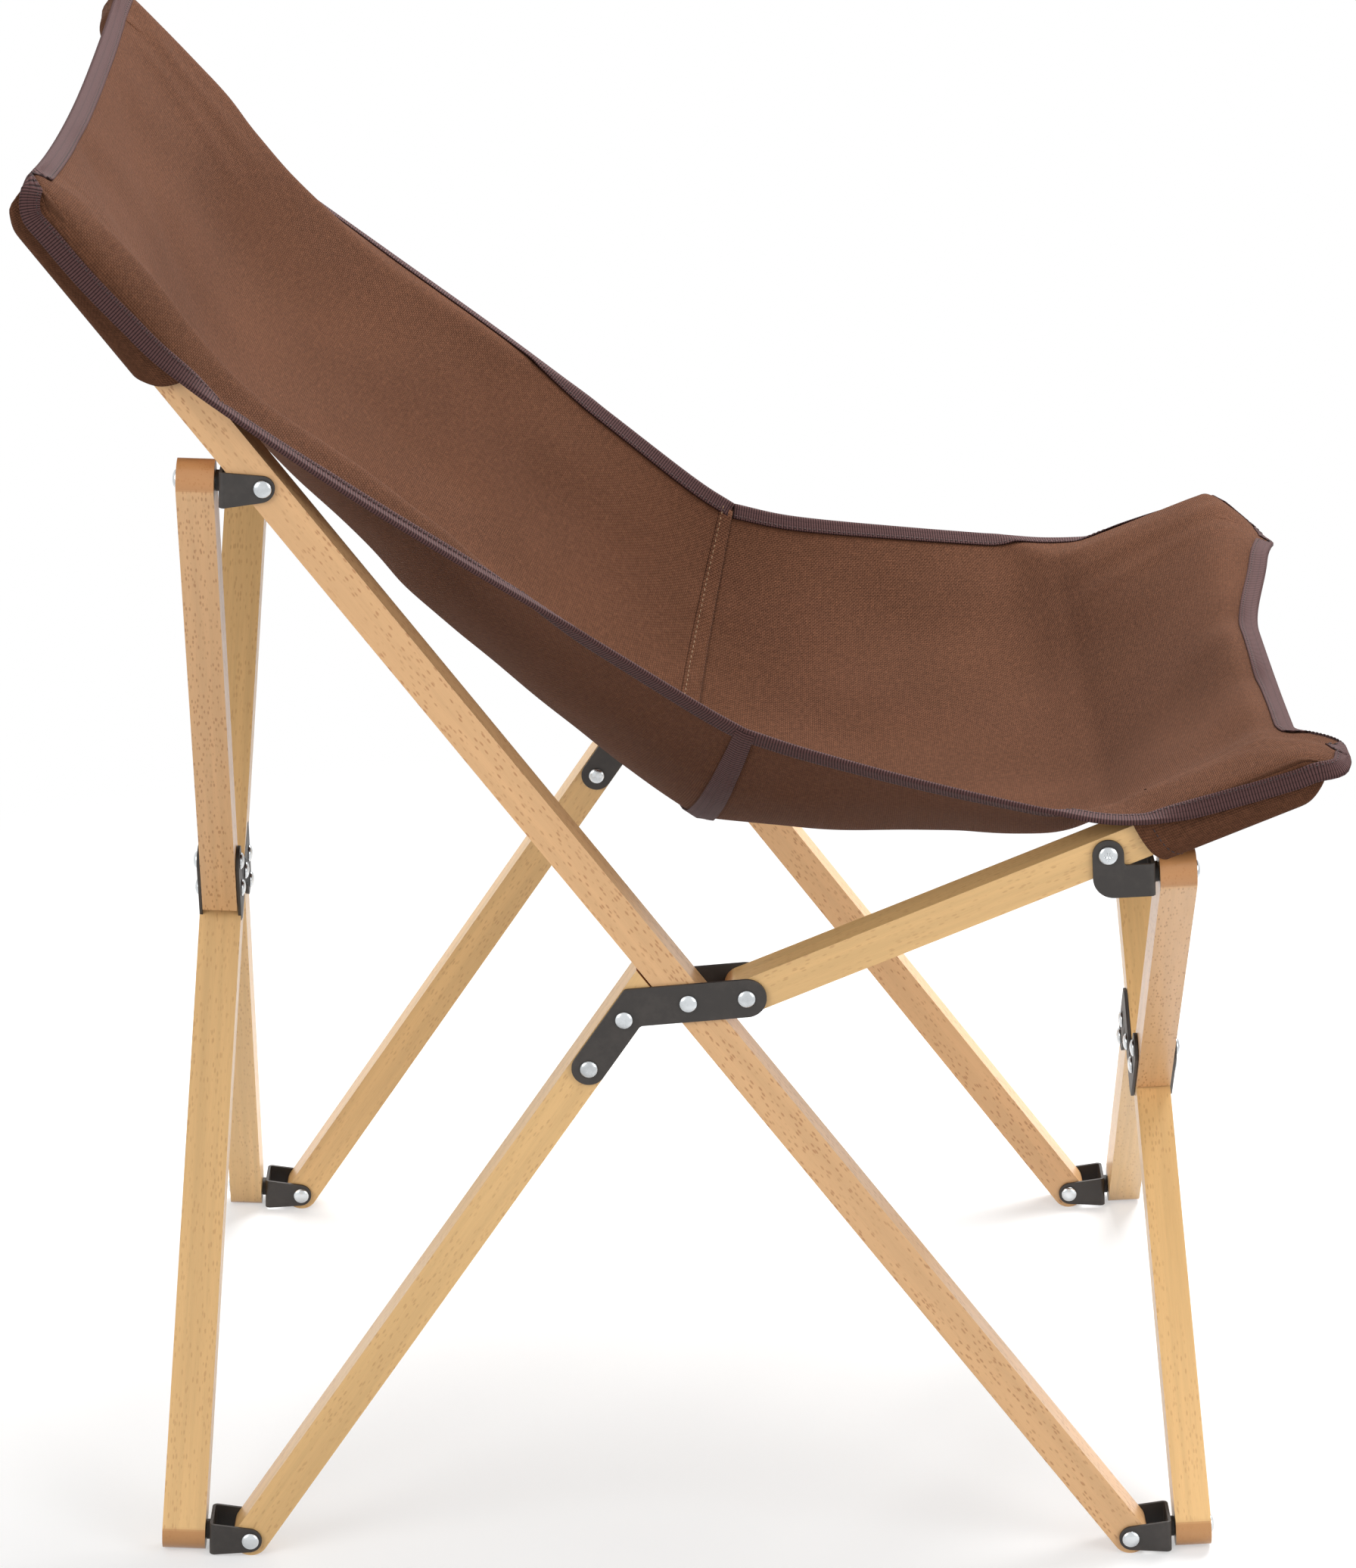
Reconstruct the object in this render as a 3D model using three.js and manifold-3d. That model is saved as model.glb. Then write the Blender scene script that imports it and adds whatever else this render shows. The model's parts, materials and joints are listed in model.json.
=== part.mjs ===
// Folding sling chair: beech bars, black steel plates and brackets, and a two-panel canvas sling.
// Millimetres. +X is the front of the chair, +Y the sitter's left, +Z up from the floor.
import * as THREE from 'three';
import { mergeVertices } from 'three/addons/utils/BufferGeometryUtils.js';
import Module from 'manifold-3d';

const wasm = await Module();
wasm.setup();

// Driving dimensions: bar stock
const BAR_WIDTH = 22.5;
const BAR_DEPTH = 25;
const BAR_EDGE_ROUND = 2;

// Driving dimensions: side frames
const FRAME_WIDTH = 526;
const LONG_BAR_LEAN = 52.6;
const PIVOT_TO_FRONT_FOOT = 463.5;
const PIVOT_TO_REAR_BRACKET = 413.5;
const PIVOT_TO_BAR_TOP = 630;
const LEG_LEAN = 56.3;
const LEG_OFFSET = 26.7;
const LEG_RIVET_1 = 30.8;
const LEG_RIVET_2 = 69.8;
const LEG_STOP_GAP = 1.2;
const RAIL_PIVOT_REACH = 35.8;
const RAIL_PIVOT_RISE = 5;
const RAIL_LEAN = 23.1;
const RAIL_TO_FRONT_BRACKET = 237.5;
const RAIL_TO_TIP = 368;
const RAIL_TAIL = 2;

// Driving dimensions: steel
const PLATE_THICKNESS = 2.2;
const PLATE_ARM_HALF_WIDTH = 12.4;
const PLATE_LEG_HALF_WIDTH = 10.7;
const BRACKET_THICKNESS = 2;
const BRACKET_REACH = 26;
const BRACKET_BASE_HEIGHT = 21;
const BRACKET_EAR_ROUND = 7.3;
const FRONT_BRACKET_REACH = 28.4;
const FRONT_BRACKET_DROP = 17.5;
const FRONT_BRACKET_EAR_ROUND = 9.6;
const FRONT_BRACKET_CORNER = 7;
const NECK_LENGTH = 2.7;
const NECK_RADIUS = 6.4;

// Driving dimensions: crossed pairs
const CROSS_OFFSET = 27;
const CROSS_PLATE_HALF_WIDTH = 10;
const CROSS_PLATE_WEB = 12;
const CROSS_PLATE_CHAMFER = 7;
const CROSS_RIVET_INSET = 9;
const CROSS_RIVET_PITCH = 30;
const CROSS_END_GAP = 1.2;

// Driving dimensions: fasteners
const SHANK_RADIUS = 3;
const HEAD_RADIUS = 5.6;
const HEAD_HEIGHT = 2.6;
const SCREW_HEAD_RADIUS = 6;
const NUT_RADIUS = 5;
const NUT_HEIGHT = 3.5;

// Driving dimensions: sling
const CLOTH_THICKNESS = 2.4;
const POCKET_WALL = 2.2;
const BACK_POCKET_MOUTH = 500;
const POCKET_END_ROOM = 2;
const TOP_EDGE_CUT = 16;
const FRONT_EDGE_CUT = 24;
const SEAM_GAP = 0.6;

// Clearances
const PIVOT_CLEARANCE = 0.35;
const SIDE_CLEARANCE = 0.3;
const POCKET_ROOM = 0.3;
const CLOTH_LIFT = 1.4;
const POCKET_TO_BRACKET = 17;
const ROUND_STEPS = 6;
const HOLE_SIDES = 8;

const radians = THREE.MathUtils.degToRad;
const HALF_WIDTH = FRAME_WIDTH / 2;
const HALF_BAR = BAR_WIDTH / 2;
const SEAT_POCKET_MOUTH = RAIL_TO_FRONT_BRACKET + FRONT_BRACKET_EAR_ROUND + POCKET_TO_BRACKET;
const HOLE_RADIUS = (SHANK_RADIUS + PIVOT_CLEARANCE) / Math.cos(Math.PI / HOLE_SIDES);

const beech = new THREE.MeshStandardMaterial({ color: 0xdfb483, roughness: 0.5, metalness: 0 });
const blackSteel = new THREE.MeshStandardMaterial({ color: 0x2e2926, roughness: 0.6, metalness: 0.3 });
const zinc = new THREE.MeshStandardMaterial({ color: 0xc9cdcf, roughness: 0.25, metalness: 1 });
const canvas = new THREE.MeshStandardMaterial({ color: 0x5c3e2d, roughness: 0.95, metalness: 0 });

// Points of the side frame, in its own plane: x to the front, y up, origin at the centre pivot.
const direction = (degrees) => new THREE.Vector2(Math.cos(radians(degrees)), Math.sin(radians(degrees)));
const leftOf = (v) => new THREE.Vector2(-v.y, v.x);
const along = (start, v, distance) => start.clone().addScaledVector(v, distance);

const LONG_BAR_ANGLE = 180 - LONG_BAR_LEAN;
const LEG_ANGLE = 180 + LEG_LEAN;
const centrePivot = new THREE.Vector2(0, 0);
const barUp = direction(LONG_BAR_ANGLE);
const legDown = direction(LEG_ANGLE);
const railOut = direction(RAIL_LEAN);
const frontFoot = along(centrePivot, barUp, -PIVOT_TO_FRONT_FOOT);
const rearBracket = along(centrePivot, barUp, PIVOT_TO_REAR_BRACKET);
const legStart = along(centrePivot, leftOf(legDown), -LEG_OFFSET);
const LEG_LENGTH = (frontFoot.y - legStart.y) / legDown.y;
const rearFoot = along(legStart, legDown, LEG_LENGTH);
const railPivot = along(centrePivot, direction(RAIL_PIVOT_RISE), RAIL_PIVOT_REACH);
const frontBracket = along(railPivot, railOut, RAIL_TO_FRONT_BRACKET);
const legRivet1 = along(legStart, legDown, LEG_RIVET_1);
const legRivet2 = along(legStart, legDown, LEG_RIVET_2);
const PIVOT_HEIGHT = HALF_BAR - frontFoot.y;

// The crossed pairs stand in two planes that lean with the lines between their bracket rivets.
const BOLT_REACH = BRACKET_REACH + NECK_LENGTH + SIDE_CLEARANCE + HALF_BAR;
const FRONT_BOLT_REACH = FRONT_BRACKET_REACH + NECK_LENGTH + SIDE_CLEARANCE + HALF_BAR;
const rearUp = rearBracket.clone().sub(rearFoot).normalize();
const REAR_PLANE_ANGLE = THREE.MathUtils.radToDeg(rearUp.angle());
const footToFront = frontBracket.clone().sub(frontFoot);
const frontSkew = Math.asin((FRONT_BOLT_REACH - BOLT_REACH) / footToFront.length());
const FRONT_PLANE_ANGLE = THREE.MathUtils.radToDeg(footToFront.angle() - frontSkew);
const frontUp = direction(FRONT_PLANE_ANGLE);
const rearOut = leftOf(rearUp);
const frontOut = leftOf(frontUp).negate();
const rearTopBolt = along(rearBracket, rearOut, BOLT_REACH);
const rearLowBolt = along(rearFoot, rearOut, BOLT_REACH);
const frontTopBolt = along(along(frontBracket, frontOut, FRONT_BOLT_REACH), frontUp, -FRONT_BRACKET_DROP);
const frontLowBolt = along(frontFoot, frontOut, BOLT_REACH);

// Solids: three.js geometry made into manifold solids for joining and cutting, and back again.
function toSolid(geometry) {
  const bare = geometry.index ? geometry.toNonIndexed() : geometry.clone();
  bare.deleteAttribute('normal');
  bare.deleteAttribute('uv');
  const merged = mergeVertices(bare, 1e-4);
  return new wasm.Manifold(new wasm.Mesh({
    numProp: 3,
    vertProperties: new Float32Array(merged.attributes.position.array),
    triVerts: new Uint32Array(merged.index.array),
  }));
}

function toGeometry(solid) {
  const mesh = solid.getMesh();
  const geometry = new THREE.BufferGeometry();
  geometry.setAttribute('position', new THREE.BufferAttribute(new Float32Array(mesh.vertProperties), 3));
  geometry.setIndex(new THREE.BufferAttribute(new Uint32Array(mesh.triVerts), 1));
  return geometry;
}

const joined = (geometries) => toGeometry(geometries.map(toSolid).reduce((sum, next) => sum.add(next)));

// A flat outline with round holes, extruded both ways from its own plane. A rounded edge is optional.
function punchedPlate(outline, holes, thickness, edgeRound = 0) {
  for (const hole of holes) {
    const ring = new THREE.EllipseCurve(hole.x, hole.y, HOLE_RADIUS, HOLE_RADIUS, 0, Math.PI * 2, true);
    outline.holes.push(new THREE.Path(ring.getPoints(HOLE_SIDES).slice(0, HOLE_SIDES)));
  }
  const geometry = new THREE.ExtrudeGeometry(outline, {
    depth: thickness - 2 * edgeRound,
    bevelEnabled: edgeRound > 0,
    bevelThickness: edgeRound,
    bevelSize: edgeRound,
    bevelOffset: -edgeRound,
    bevelSegments: 1,
    curveSegments: ROUND_STEPS,
  });
  return geometry.translate(0, 0, edgeRound - thickness / 2);
}

// A bar along x with half-round ends; each end value is the centre of its rounding.
function roundBarOutline(start, end, halfWidth) {
  const outline = new THREE.Shape();
  outline.absarc(end, 0, halfWidth, -Math.PI / 2, Math.PI / 2, false);
  outline.absarc(start, 0, halfWidth, Math.PI / 2, Math.PI * 1.5, false);
  return outline;
}

const onAxis = (...positions) => positions.map((x) => new THREE.Vector2(x, 0));

function longBar() {
  const outline = roundBarOutline(-PIVOT_TO_FRONT_FOOT, PIVOT_TO_BAR_TOP - HALF_BAR, HALF_BAR);
  const holes = onAxis(-PIVOT_TO_FRONT_FOOT, 0, PIVOT_TO_REAR_BRACKET);
  return punchedPlate(outline, holes, BAR_DEPTH, BAR_EDGE_ROUND);
}

// The leg's upper end is cut parallel to the long bar, which it stops against.
function rearLeg() {
  const behindBar = leftOf(barUp);
  const cutAt = (offset) => {
    const reach = HALF_BAR + LEG_STOP_GAP - along(legStart, leftOf(legDown), offset).dot(behindBar);
    return reach / legDown.dot(behindBar);
  };
  const outline = new THREE.Shape();
  outline.absarc(LEG_LENGTH, 0, HALF_BAR, -Math.PI / 2, Math.PI / 2, false);
  outline.lineTo(cutAt(HALF_BAR), HALF_BAR);
  outline.lineTo(cutAt(-HALF_BAR), -HALF_BAR);
  return punchedPlate(outline, onAxis(LEG_RIVET_1, LEG_RIVET_2, LEG_LENGTH), BAR_DEPTH, BAR_EDGE_ROUND);
}

function seatRail() {
  const outline = roundBarOutline(-RAIL_TAIL, RAIL_TO_TIP - HALF_BAR, HALF_BAR);
  return punchedPlate(outline, onAxis(0, RAIL_TO_FRONT_BRACKET), BAR_DEPTH, BAR_EDGE_ROUND);
}

// Where two lines, each given by a point and a direction, cross.
function crossing(pointA, directionA, pointB, directionB) {
  const gap = pointB.clone().sub(pointA);
  const turn = directionA.cross(directionB);
  return along(pointA, directionA, gap.cross(directionB) / turn);
}

// The dogleg plate: one arm holds the long bar and the seat rail, the other runs down the leg.
function doglegPlate() {
  const armIn = centrePivot.clone().sub(railPivot).normalize();
  const armSide = leftOf(armIn);
  const legSide = leftOf(legDown);
  const edge = (sign, arm) => along(arm ? railPivot : legRivet1, arm ? armSide : legSide,
    sign * (arm ? PLATE_ARM_HALF_WIDTH : PLATE_LEG_HALF_WIDTH));
  const outerElbow = crossing(edge(-1, true), armIn, edge(-1, false), legDown);
  const innerElbow = crossing(edge(1, true), armIn, edge(1, false), legDown);
  const armAngle = armIn.angle();
  const legAngle = legDown.angle();
  const outline = new THREE.Shape();
  outline.absarc(railPivot.x, railPivot.y, PLATE_ARM_HALF_WIDTH,
    armAngle + Math.PI / 2, armAngle + Math.PI * 1.5, false);
  outline.lineTo(outerElbow.x, outerElbow.y);
  outline.absarc(legRivet2.x, legRivet2.y, PLATE_LEG_HALF_WIDTH,
    legAngle - Math.PI / 2, legAngle + Math.PI / 2, false);
  outline.lineTo(innerElbow.x, innerElbow.y);
  return punchedPlate(outline, [centrePivot, railPivot, legRivet1, legRivet2], PLATE_THICKNESS);
}

// Brackets, with x out to the crossed pair and y along its plane. The bar's rivet is at the origin.
const EAR_PLANE = BAR_DEPTH / 2 + SIDE_CLEARANCE + BRACKET_THICKNESS / 2;

function bracket(earOutline, reach, baseCentre, boreRadius) {
  const pieces = [];
  for (const side of [-1, 1]) {
    pieces.push(punchedPlate(earOutline(), onAxis(0), BRACKET_THICKNESS).translate(0, 0, side * EAR_PLANE));
  }
  const base = new THREE.BoxGeometry(BRACKET_THICKNESS, BRACKET_BASE_HEIGHT, 2 * EAR_PLANE);
  pieces.push(base.translate(reach - BRACKET_THICKNESS / 2, baseCentre, 0));
  const neckHeight = NECK_LENGTH + BRACKET_THICKNESS;
  const neck = new THREE.CylinderGeometry(NECK_RADIUS, NECK_RADIUS, neckHeight, HOLE_SIDES);
  neck.rotateZ(Math.PI / 2);
  pieces.push(neck.translate(reach + (NECK_LENGTH - BRACKET_THICKNESS) / 2, baseCentre, 0));
  if (boreRadius === 0) {
    return joined(pieces);
  }
  const bore = new THREE.CylinderGeometry(boreRadius, boreRadius, 2 * reach, HOLE_SIDES);
  bore.rotateZ(Math.PI / 2).translate(2 * reach - HALF_BAR, baseCentre, 0);
  return toGeometry(pieces.map(toSolid).reduce((sum, next) => sum.add(next)).subtract(toSolid(bore)));
}

// Ears that widen from the rivet to the base.
function taperedBracket(boreRadius) {
  const half = BRACKET_BASE_HEIGHT / 2;
  const earOutline = () => {
    const outline = new THREE.Shape();
    outline.absarc(0, 0, BRACKET_EAR_ROUND, Math.PI / 2, Math.PI * 1.5, false);
    outline.lineTo(BRACKET_REACH, -half);
    outline.lineTo(BRACKET_REACH, half);
    return outline;
  };
  return bracket(earOutline, BRACKET_REACH, 0, boreRadius);
}

// Hooked ears that drop from the screw and turn out to a base below the seat rail.
function hookedBracket(boreRadius) {
  const half = BRACKET_BASE_HEIGHT / 2;
  const top = half - FRONT_BRACKET_DROP;
  const bottom = -half - FRONT_BRACKET_DROP;
  const earOutline = () => {
    const outline = new THREE.Shape();
    outline.absarc(0, 0, FRONT_BRACKET_EAR_ROUND, 0, Math.PI, false);
    outline.absarc(FRONT_BRACKET_CORNER - FRONT_BRACKET_EAR_ROUND, bottom + FRONT_BRACKET_CORNER,
      FRONT_BRACKET_CORNER, Math.PI, Math.PI * 1.5, false);
    outline.lineTo(FRONT_BRACKET_REACH, bottom);
    outline.lineTo(FRONT_BRACKET_REACH, top);
    outline.lineTo(FRONT_BRACKET_EAR_ROUND, top);
    return outline;
  };
  return bracket(earOutline, FRONT_BRACKET_REACH, -FRONT_BRACKET_DROP, boreRadius);
}

// Fasteners, along z. A head's dome is drawn by two steps of its arc.
function domedHead(seat, radius, sign) {
  const dome = [new THREE.Vector2(radius, seat)];
  for (const step of [1, 2]) {
    const turn = (step * Math.PI) / 4;
    dome.push(new THREE.Vector2(radius * Math.cos(turn), seat + sign * HEAD_HEIGHT * Math.sin(turn)));
  }
  dome[dome.length - 1].x = 0;
  return dome;
}

const turned = (profile) => new THREE.LatheGeometry(profile, HOLE_SIDES).rotateX(Math.PI / 2);

function rivet(grip, radius = HEAD_RADIUS) {
  const half = grip / 2 + SIDE_CLEARANCE / 2;
  return turned([
    ...domedHead(-half, radius, -1).reverse(),
    new THREE.Vector2(SHANK_RADIUS, -half),
    new THREE.Vector2(SHANK_RADIUS, half),
    ...domedHead(half, radius, 1),
  ]);
}

// A bolt through the end of a crossed bar, head at +z. A long one goes on through the bracket to its nut.
function crossBolt(nutSeat) {
  const seat = HALF_BAR + SIDE_CLEARANCE / 2;
  const flushTail = [
    new THREE.Vector2(0, -HALF_BAR),
    new THREE.Vector2(SHANK_RADIUS, -HALF_BAR),
  ];
  const nutTail = [
    new THREE.Vector2(0, -nutSeat - NUT_HEIGHT),
    new THREE.Vector2(NUT_RADIUS, -nutSeat - NUT_HEIGHT),
    new THREE.Vector2(NUT_RADIUS, -nutSeat),
    new THREE.Vector2(SHANK_RADIUS, -nutSeat),
  ];
  const tail = nutSeat > 0 ? nutTail : flushTail;
  return turned([...tail, new THREE.Vector2(SHANK_RADIUS, seat), ...domedHead(seat, HEAD_RADIUS, 1)]);
}

// One crossed pair, in its own plane: x to the sitter's left, y up, origin at the crossing.
function crossedPair(span, rise) {
  const arm = Math.hypot(span, rise) / 2;
  const lean = Math.atan2(span, rise);
  const splay = Math.asin(CROSS_OFFSET / arm);
  const boltAt = Math.sqrt(arm * arm - CROSS_OFFSET * CROSS_OFFSET);
  const opening = 2 * lean - splay;
  const halfDepth = BAR_DEPTH / 2;
  const endClear = (offset) => (halfDepth - offset * Math.cos(opening)) / Math.sin(opening);
  const halfEnd = CROSS_END_GAP + Math.max(
    endClear(CROSS_OFFSET - halfDepth),
    endClear(CROSS_OFFSET + halfDepth),
  );
  const rivetAt = [halfEnd + CROSS_RIVET_INSET, halfEnd + CROSS_RIVET_INSET + CROSS_RIVET_PITCH];
  return { arm, lean, splay, boltAt, halfEnd, rivetAt };
}

function crossBar(pair) {
  const outline = roundBarOutline(-pair.arm, pair.arm, BAR_DEPTH / 2);
  const geometry = punchedPlate(outline, onAxis(-pair.arm, 0, pair.arm), BAR_WIDTH, BAR_EDGE_ROUND);
  return geometry.rotateZ(Math.PI / 2);
}

function crossHalfBar(pair) {
  const halfDepth = BAR_DEPTH / 2;
  const outline = new THREE.Shape();
  outline.absarc(pair.boltAt, 0, halfDepth, -Math.PI / 2, Math.PI / 2, false);
  outline.lineTo(pair.halfEnd, halfDepth);
  outline.lineTo(pair.halfEnd, -halfDepth);
  const geometry = punchedPlate(outline, onAxis(...pair.rivetAt, pair.boltAt), BAR_WIDTH, BAR_EDGE_ROUND);
  return geometry.rotateZ(Math.PI / 2).translate(-CROSS_OFFSET, 0, 0);
}

// The stepped plate that carries both half bars beside the whole one.
function crossPlateOutline(pair) {
  const inner = CROSS_OFFSET - CROSS_PLATE_HALF_WIDTH;
  const outer = CROSS_OFFSET + CROSS_PLATE_HALF_WIDTH;
  const top = pair.rivetAt[1];
  const outline = new THREE.Shape();
  for (const sign of [1, -1]) {
    const turn = sign > 0 ? 0 : Math.PI;
    outline.absarc(-sign * CROSS_OFFSET, sign * top, CROSS_PLATE_HALF_WIDTH, turn, turn + Math.PI, false);
    outline.lineTo(-sign * outer, sign * (CROSS_PLATE_CHAMFER - CROSS_PLATE_WEB));
    outline.lineTo(-sign * (outer - CROSS_PLATE_CHAMFER), -sign * CROSS_PLATE_WEB);
    outline.lineTo(sign * inner, -sign * CROSS_PLATE_WEB);
  }
  return outline;
}

const crossRivetCentres = (pair) => pair.rivetAt.flatMap((y) => [
  new THREE.Vector2(-CROSS_OFFSET, y),
  new THREE.Vector2(CROSS_OFFSET, -y),
]);
const CROSS_PLATE_PLANE = HALF_BAR + SIDE_CLEARANCE + PLATE_THICKNESS / 2;
const CROSS_GRIP = 2 * CROSS_PLATE_PLANE + PLATE_THICKNESS;

// The outer plate holds the four set rivets that clamp the half bars; the inner plate is punched for them.
function riveted(pair, outward) {
  const plate = punchedPlate(crossPlateOutline(pair), onAxis(0), PLATE_THICKNESS);
  plate.translate(0, 0, outward * CROSS_PLATE_PLANE);
  const setRivet = (centre) => rivet(CROSS_GRIP).translate(centre.x, centre.y, 0);
  return joined([plate, ...crossRivetCentres(pair).map(setRivet)]);
}

function punched(pair, outward) {
  const holes = [centrePivot, ...crossRivetCentres(pair)];
  const plate = punchedPlate(crossPlateOutline(pair), holes, PLATE_THICKNESS);
  return plate.translate(0, 0, -outward * CROSS_PLATE_PLANE);
}

// Sling stations: run is the share of the way from the seam to the corner, proud the height of the bound
// edge over the bar's axis, beyond its distance outside the bar's middle, sag the hang of the cloth at the
// chair's middle, and lean the turn of that hang from straight down towards the back.
const SEAM_RUN = 119;
const SEAM = { run: 0, proud: 116, beyond: -35, sag: 118, lean: 14 };
const CORNER_MARGIN = 8;
const SEAT_CORNER_MARGIN = 21;
const BACK_STATIONS = [
  SEAM,
  { run: 0.06, proud: 103, beyond: -34, sag: 108, lean: 24 },
  { run: 0.21, proud: 77, beyond: -16, sag: 88, lean: 45 },
  { run: 0.36, proud: 51, beyond: 9, sag: 74, lean: 52 },
  { run: 0.51, proud: 31, beyond: 22, sag: 68, lean: 52 },
  { run: 0.65, proud: 16, beyond: 38, sag: 58, lean: 52 },
  { run: 0.81, proud: 8, beyond: 50, sag: 38, lean: 52 },
  { run: 0.94, proud: 1, beyond: 32, sag: 14, lean: 52 },
  { run: 1, proud: -2, beyond: -6, sag: 4, lean: 52 },
];
const SEAT_STATIONS = [
  SEAM,
  { run: 0.1, proud: 127, beyond: -31, sag: 118, lean: 5 },
  { run: 0.28, proud: 83, beyond: -6, sag: 102, lean: -4 },
  { run: 0.47, proud: 42, beyond: 16, sag: 84, lean: -10 },
  { run: 0.57, proud: 22, beyond: 23, sag: 62, lean: -10 },
  { run: 0.68, proud: 10, beyond: 18, sag: 42, lean: -10 },
  { run: 0.79, proud: 4, beyond: 16, sag: 22, lean: -10 },
  { run: 0.9, proud: -2, beyond: 11, sag: 4, lean: -10 },
  { run: 1, proud: -10, beyond: -13, sag: -10, lean: -10 },
];
const SAG_POWER = 2.2;
const EDGE_CUT_POWER = 6;
const SHOULDER_MARGIN = 2;
const SHORTEST_DROP = 1;
const BAR_SHOULDER = BAR_DEPTH / 2 + SHOULDER_MARGIN;
const CLOTH_SEAT = HALF_BAR + CLOTH_LIFT + CLOTH_THICKNESS / 2;

// One panel: its bar's start and direction, the way the cloth lies from it, and its stations.
const barFront = leftOf(barUp).negate();
const seamEdge = along(along(centrePivot, barUp, SEAM_RUN), barFront, SEAM.proud);
const railTop = leftOf(railOut);
const seamOnRail = seamEdge.clone().sub(railPivot);
const seatSeam = { ...SEAM, proud: seamOnRail.dot(railTop) };
const backPanel = {
  start: centrePivot, out: barUp, face: barFront, seamRun: SEAM_RUN, stations: BACK_STATIONS,
  cornerRun: PIVOT_TO_BAR_TOP + CORNER_MARGIN, edgeCut: TOP_EDGE_CUT, barTip: PIVOT_TO_BAR_TOP,
  pocketMouth: BACK_POCKET_MOUTH, angle: LONG_BAR_ANGLE, upper: -1,
};
const seatPanel = {
  start: railPivot, out: railOut, face: railTop, seamRun: seamOnRail.dot(railOut),
  stations: [seatSeam, ...SEAT_STATIONS.slice(1)],
  cornerRun: RAIL_TO_TIP + SEAT_CORNER_MARGIN, edgeCut: FRONT_EDGE_CUT, barTip: RAIL_TO_TIP,
  pocketMouth: SEAT_POCKET_MOUTH, angle: RAIL_LEAN, upper: 1,
};

const STATION_KEYS = ['run', 'proud', 'beyond', 'sag', 'lean'];

function stationAt(panel, share) {
  const places = panel.stations.map((_, index) => index / (panel.stations.length - 1));
  const values = panel.stations.flatMap((station) => STATION_KEYS.map((key) => station[key]));
  const read = new THREE.CubicInterpolant(places, values, STATION_KEYS.length).evaluate(share);
  return Object.fromEntries(STATION_KEYS.map((key, index) => [key, read[index]]));
}

// The middle of the cloth: share runs from the seam to the free edge, side from -1 to 1 across the chair.
function clothPoint(panel, share, side) {
  const station = stationAt(panel, share);
  const halfSpan = HALF_WIDTH + station.beyond;
  const lateral = Math.abs(side) * halfSpan;
  const shoulder = Math.min(halfSpan, HALF_WIDTH - BAR_SHOULDER);
  const outside = Math.min(halfSpan, HALF_WIDTH + BAR_SHOULDER);
  const overBar = THREE.MathUtils.smoothstep(halfSpan, HALF_WIDTH - BAR_SHOULDER, HALF_WIDTH);
  const ridge = station.proud + overBar * Math.max(0, CLOTH_SEAT - station.proud);
  const drop = THREE.MathUtils.smoothstep(lateral, outside, Math.max(halfSpan, outside + SHORTEST_DROP));
  const proud = THREE.MathUtils.lerp(ridge, station.proud, drop);
  const hang = lateral < shoulder ? station.sag * (1 - Math.pow(lateral / shoulder, SAG_POWER)) : 0;
  const cut = panel.edgeCut * Math.pow(share, EDGE_CUT_POWER) * (1 - side * side);
  const run = panel.seamRun + station.run * (panel.cornerRun - panel.seamRun) - cut;
  const point = along(along(panel.start, panel.out, run), panel.face, proud);
  const down = direction(-90 - station.lean);
  point.addScaledVector(down, hang);
  return new THREE.Vector3(point.x, side * halfSpan, point.y + PIVOT_HEIGHT);
}

// A sheet of cloth as a closed solid: both faces of a grid of points, and the wall round its edge.
const CLOTH_ROWS = 16;
const CLOTH_COLUMNS = 24;

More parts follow.
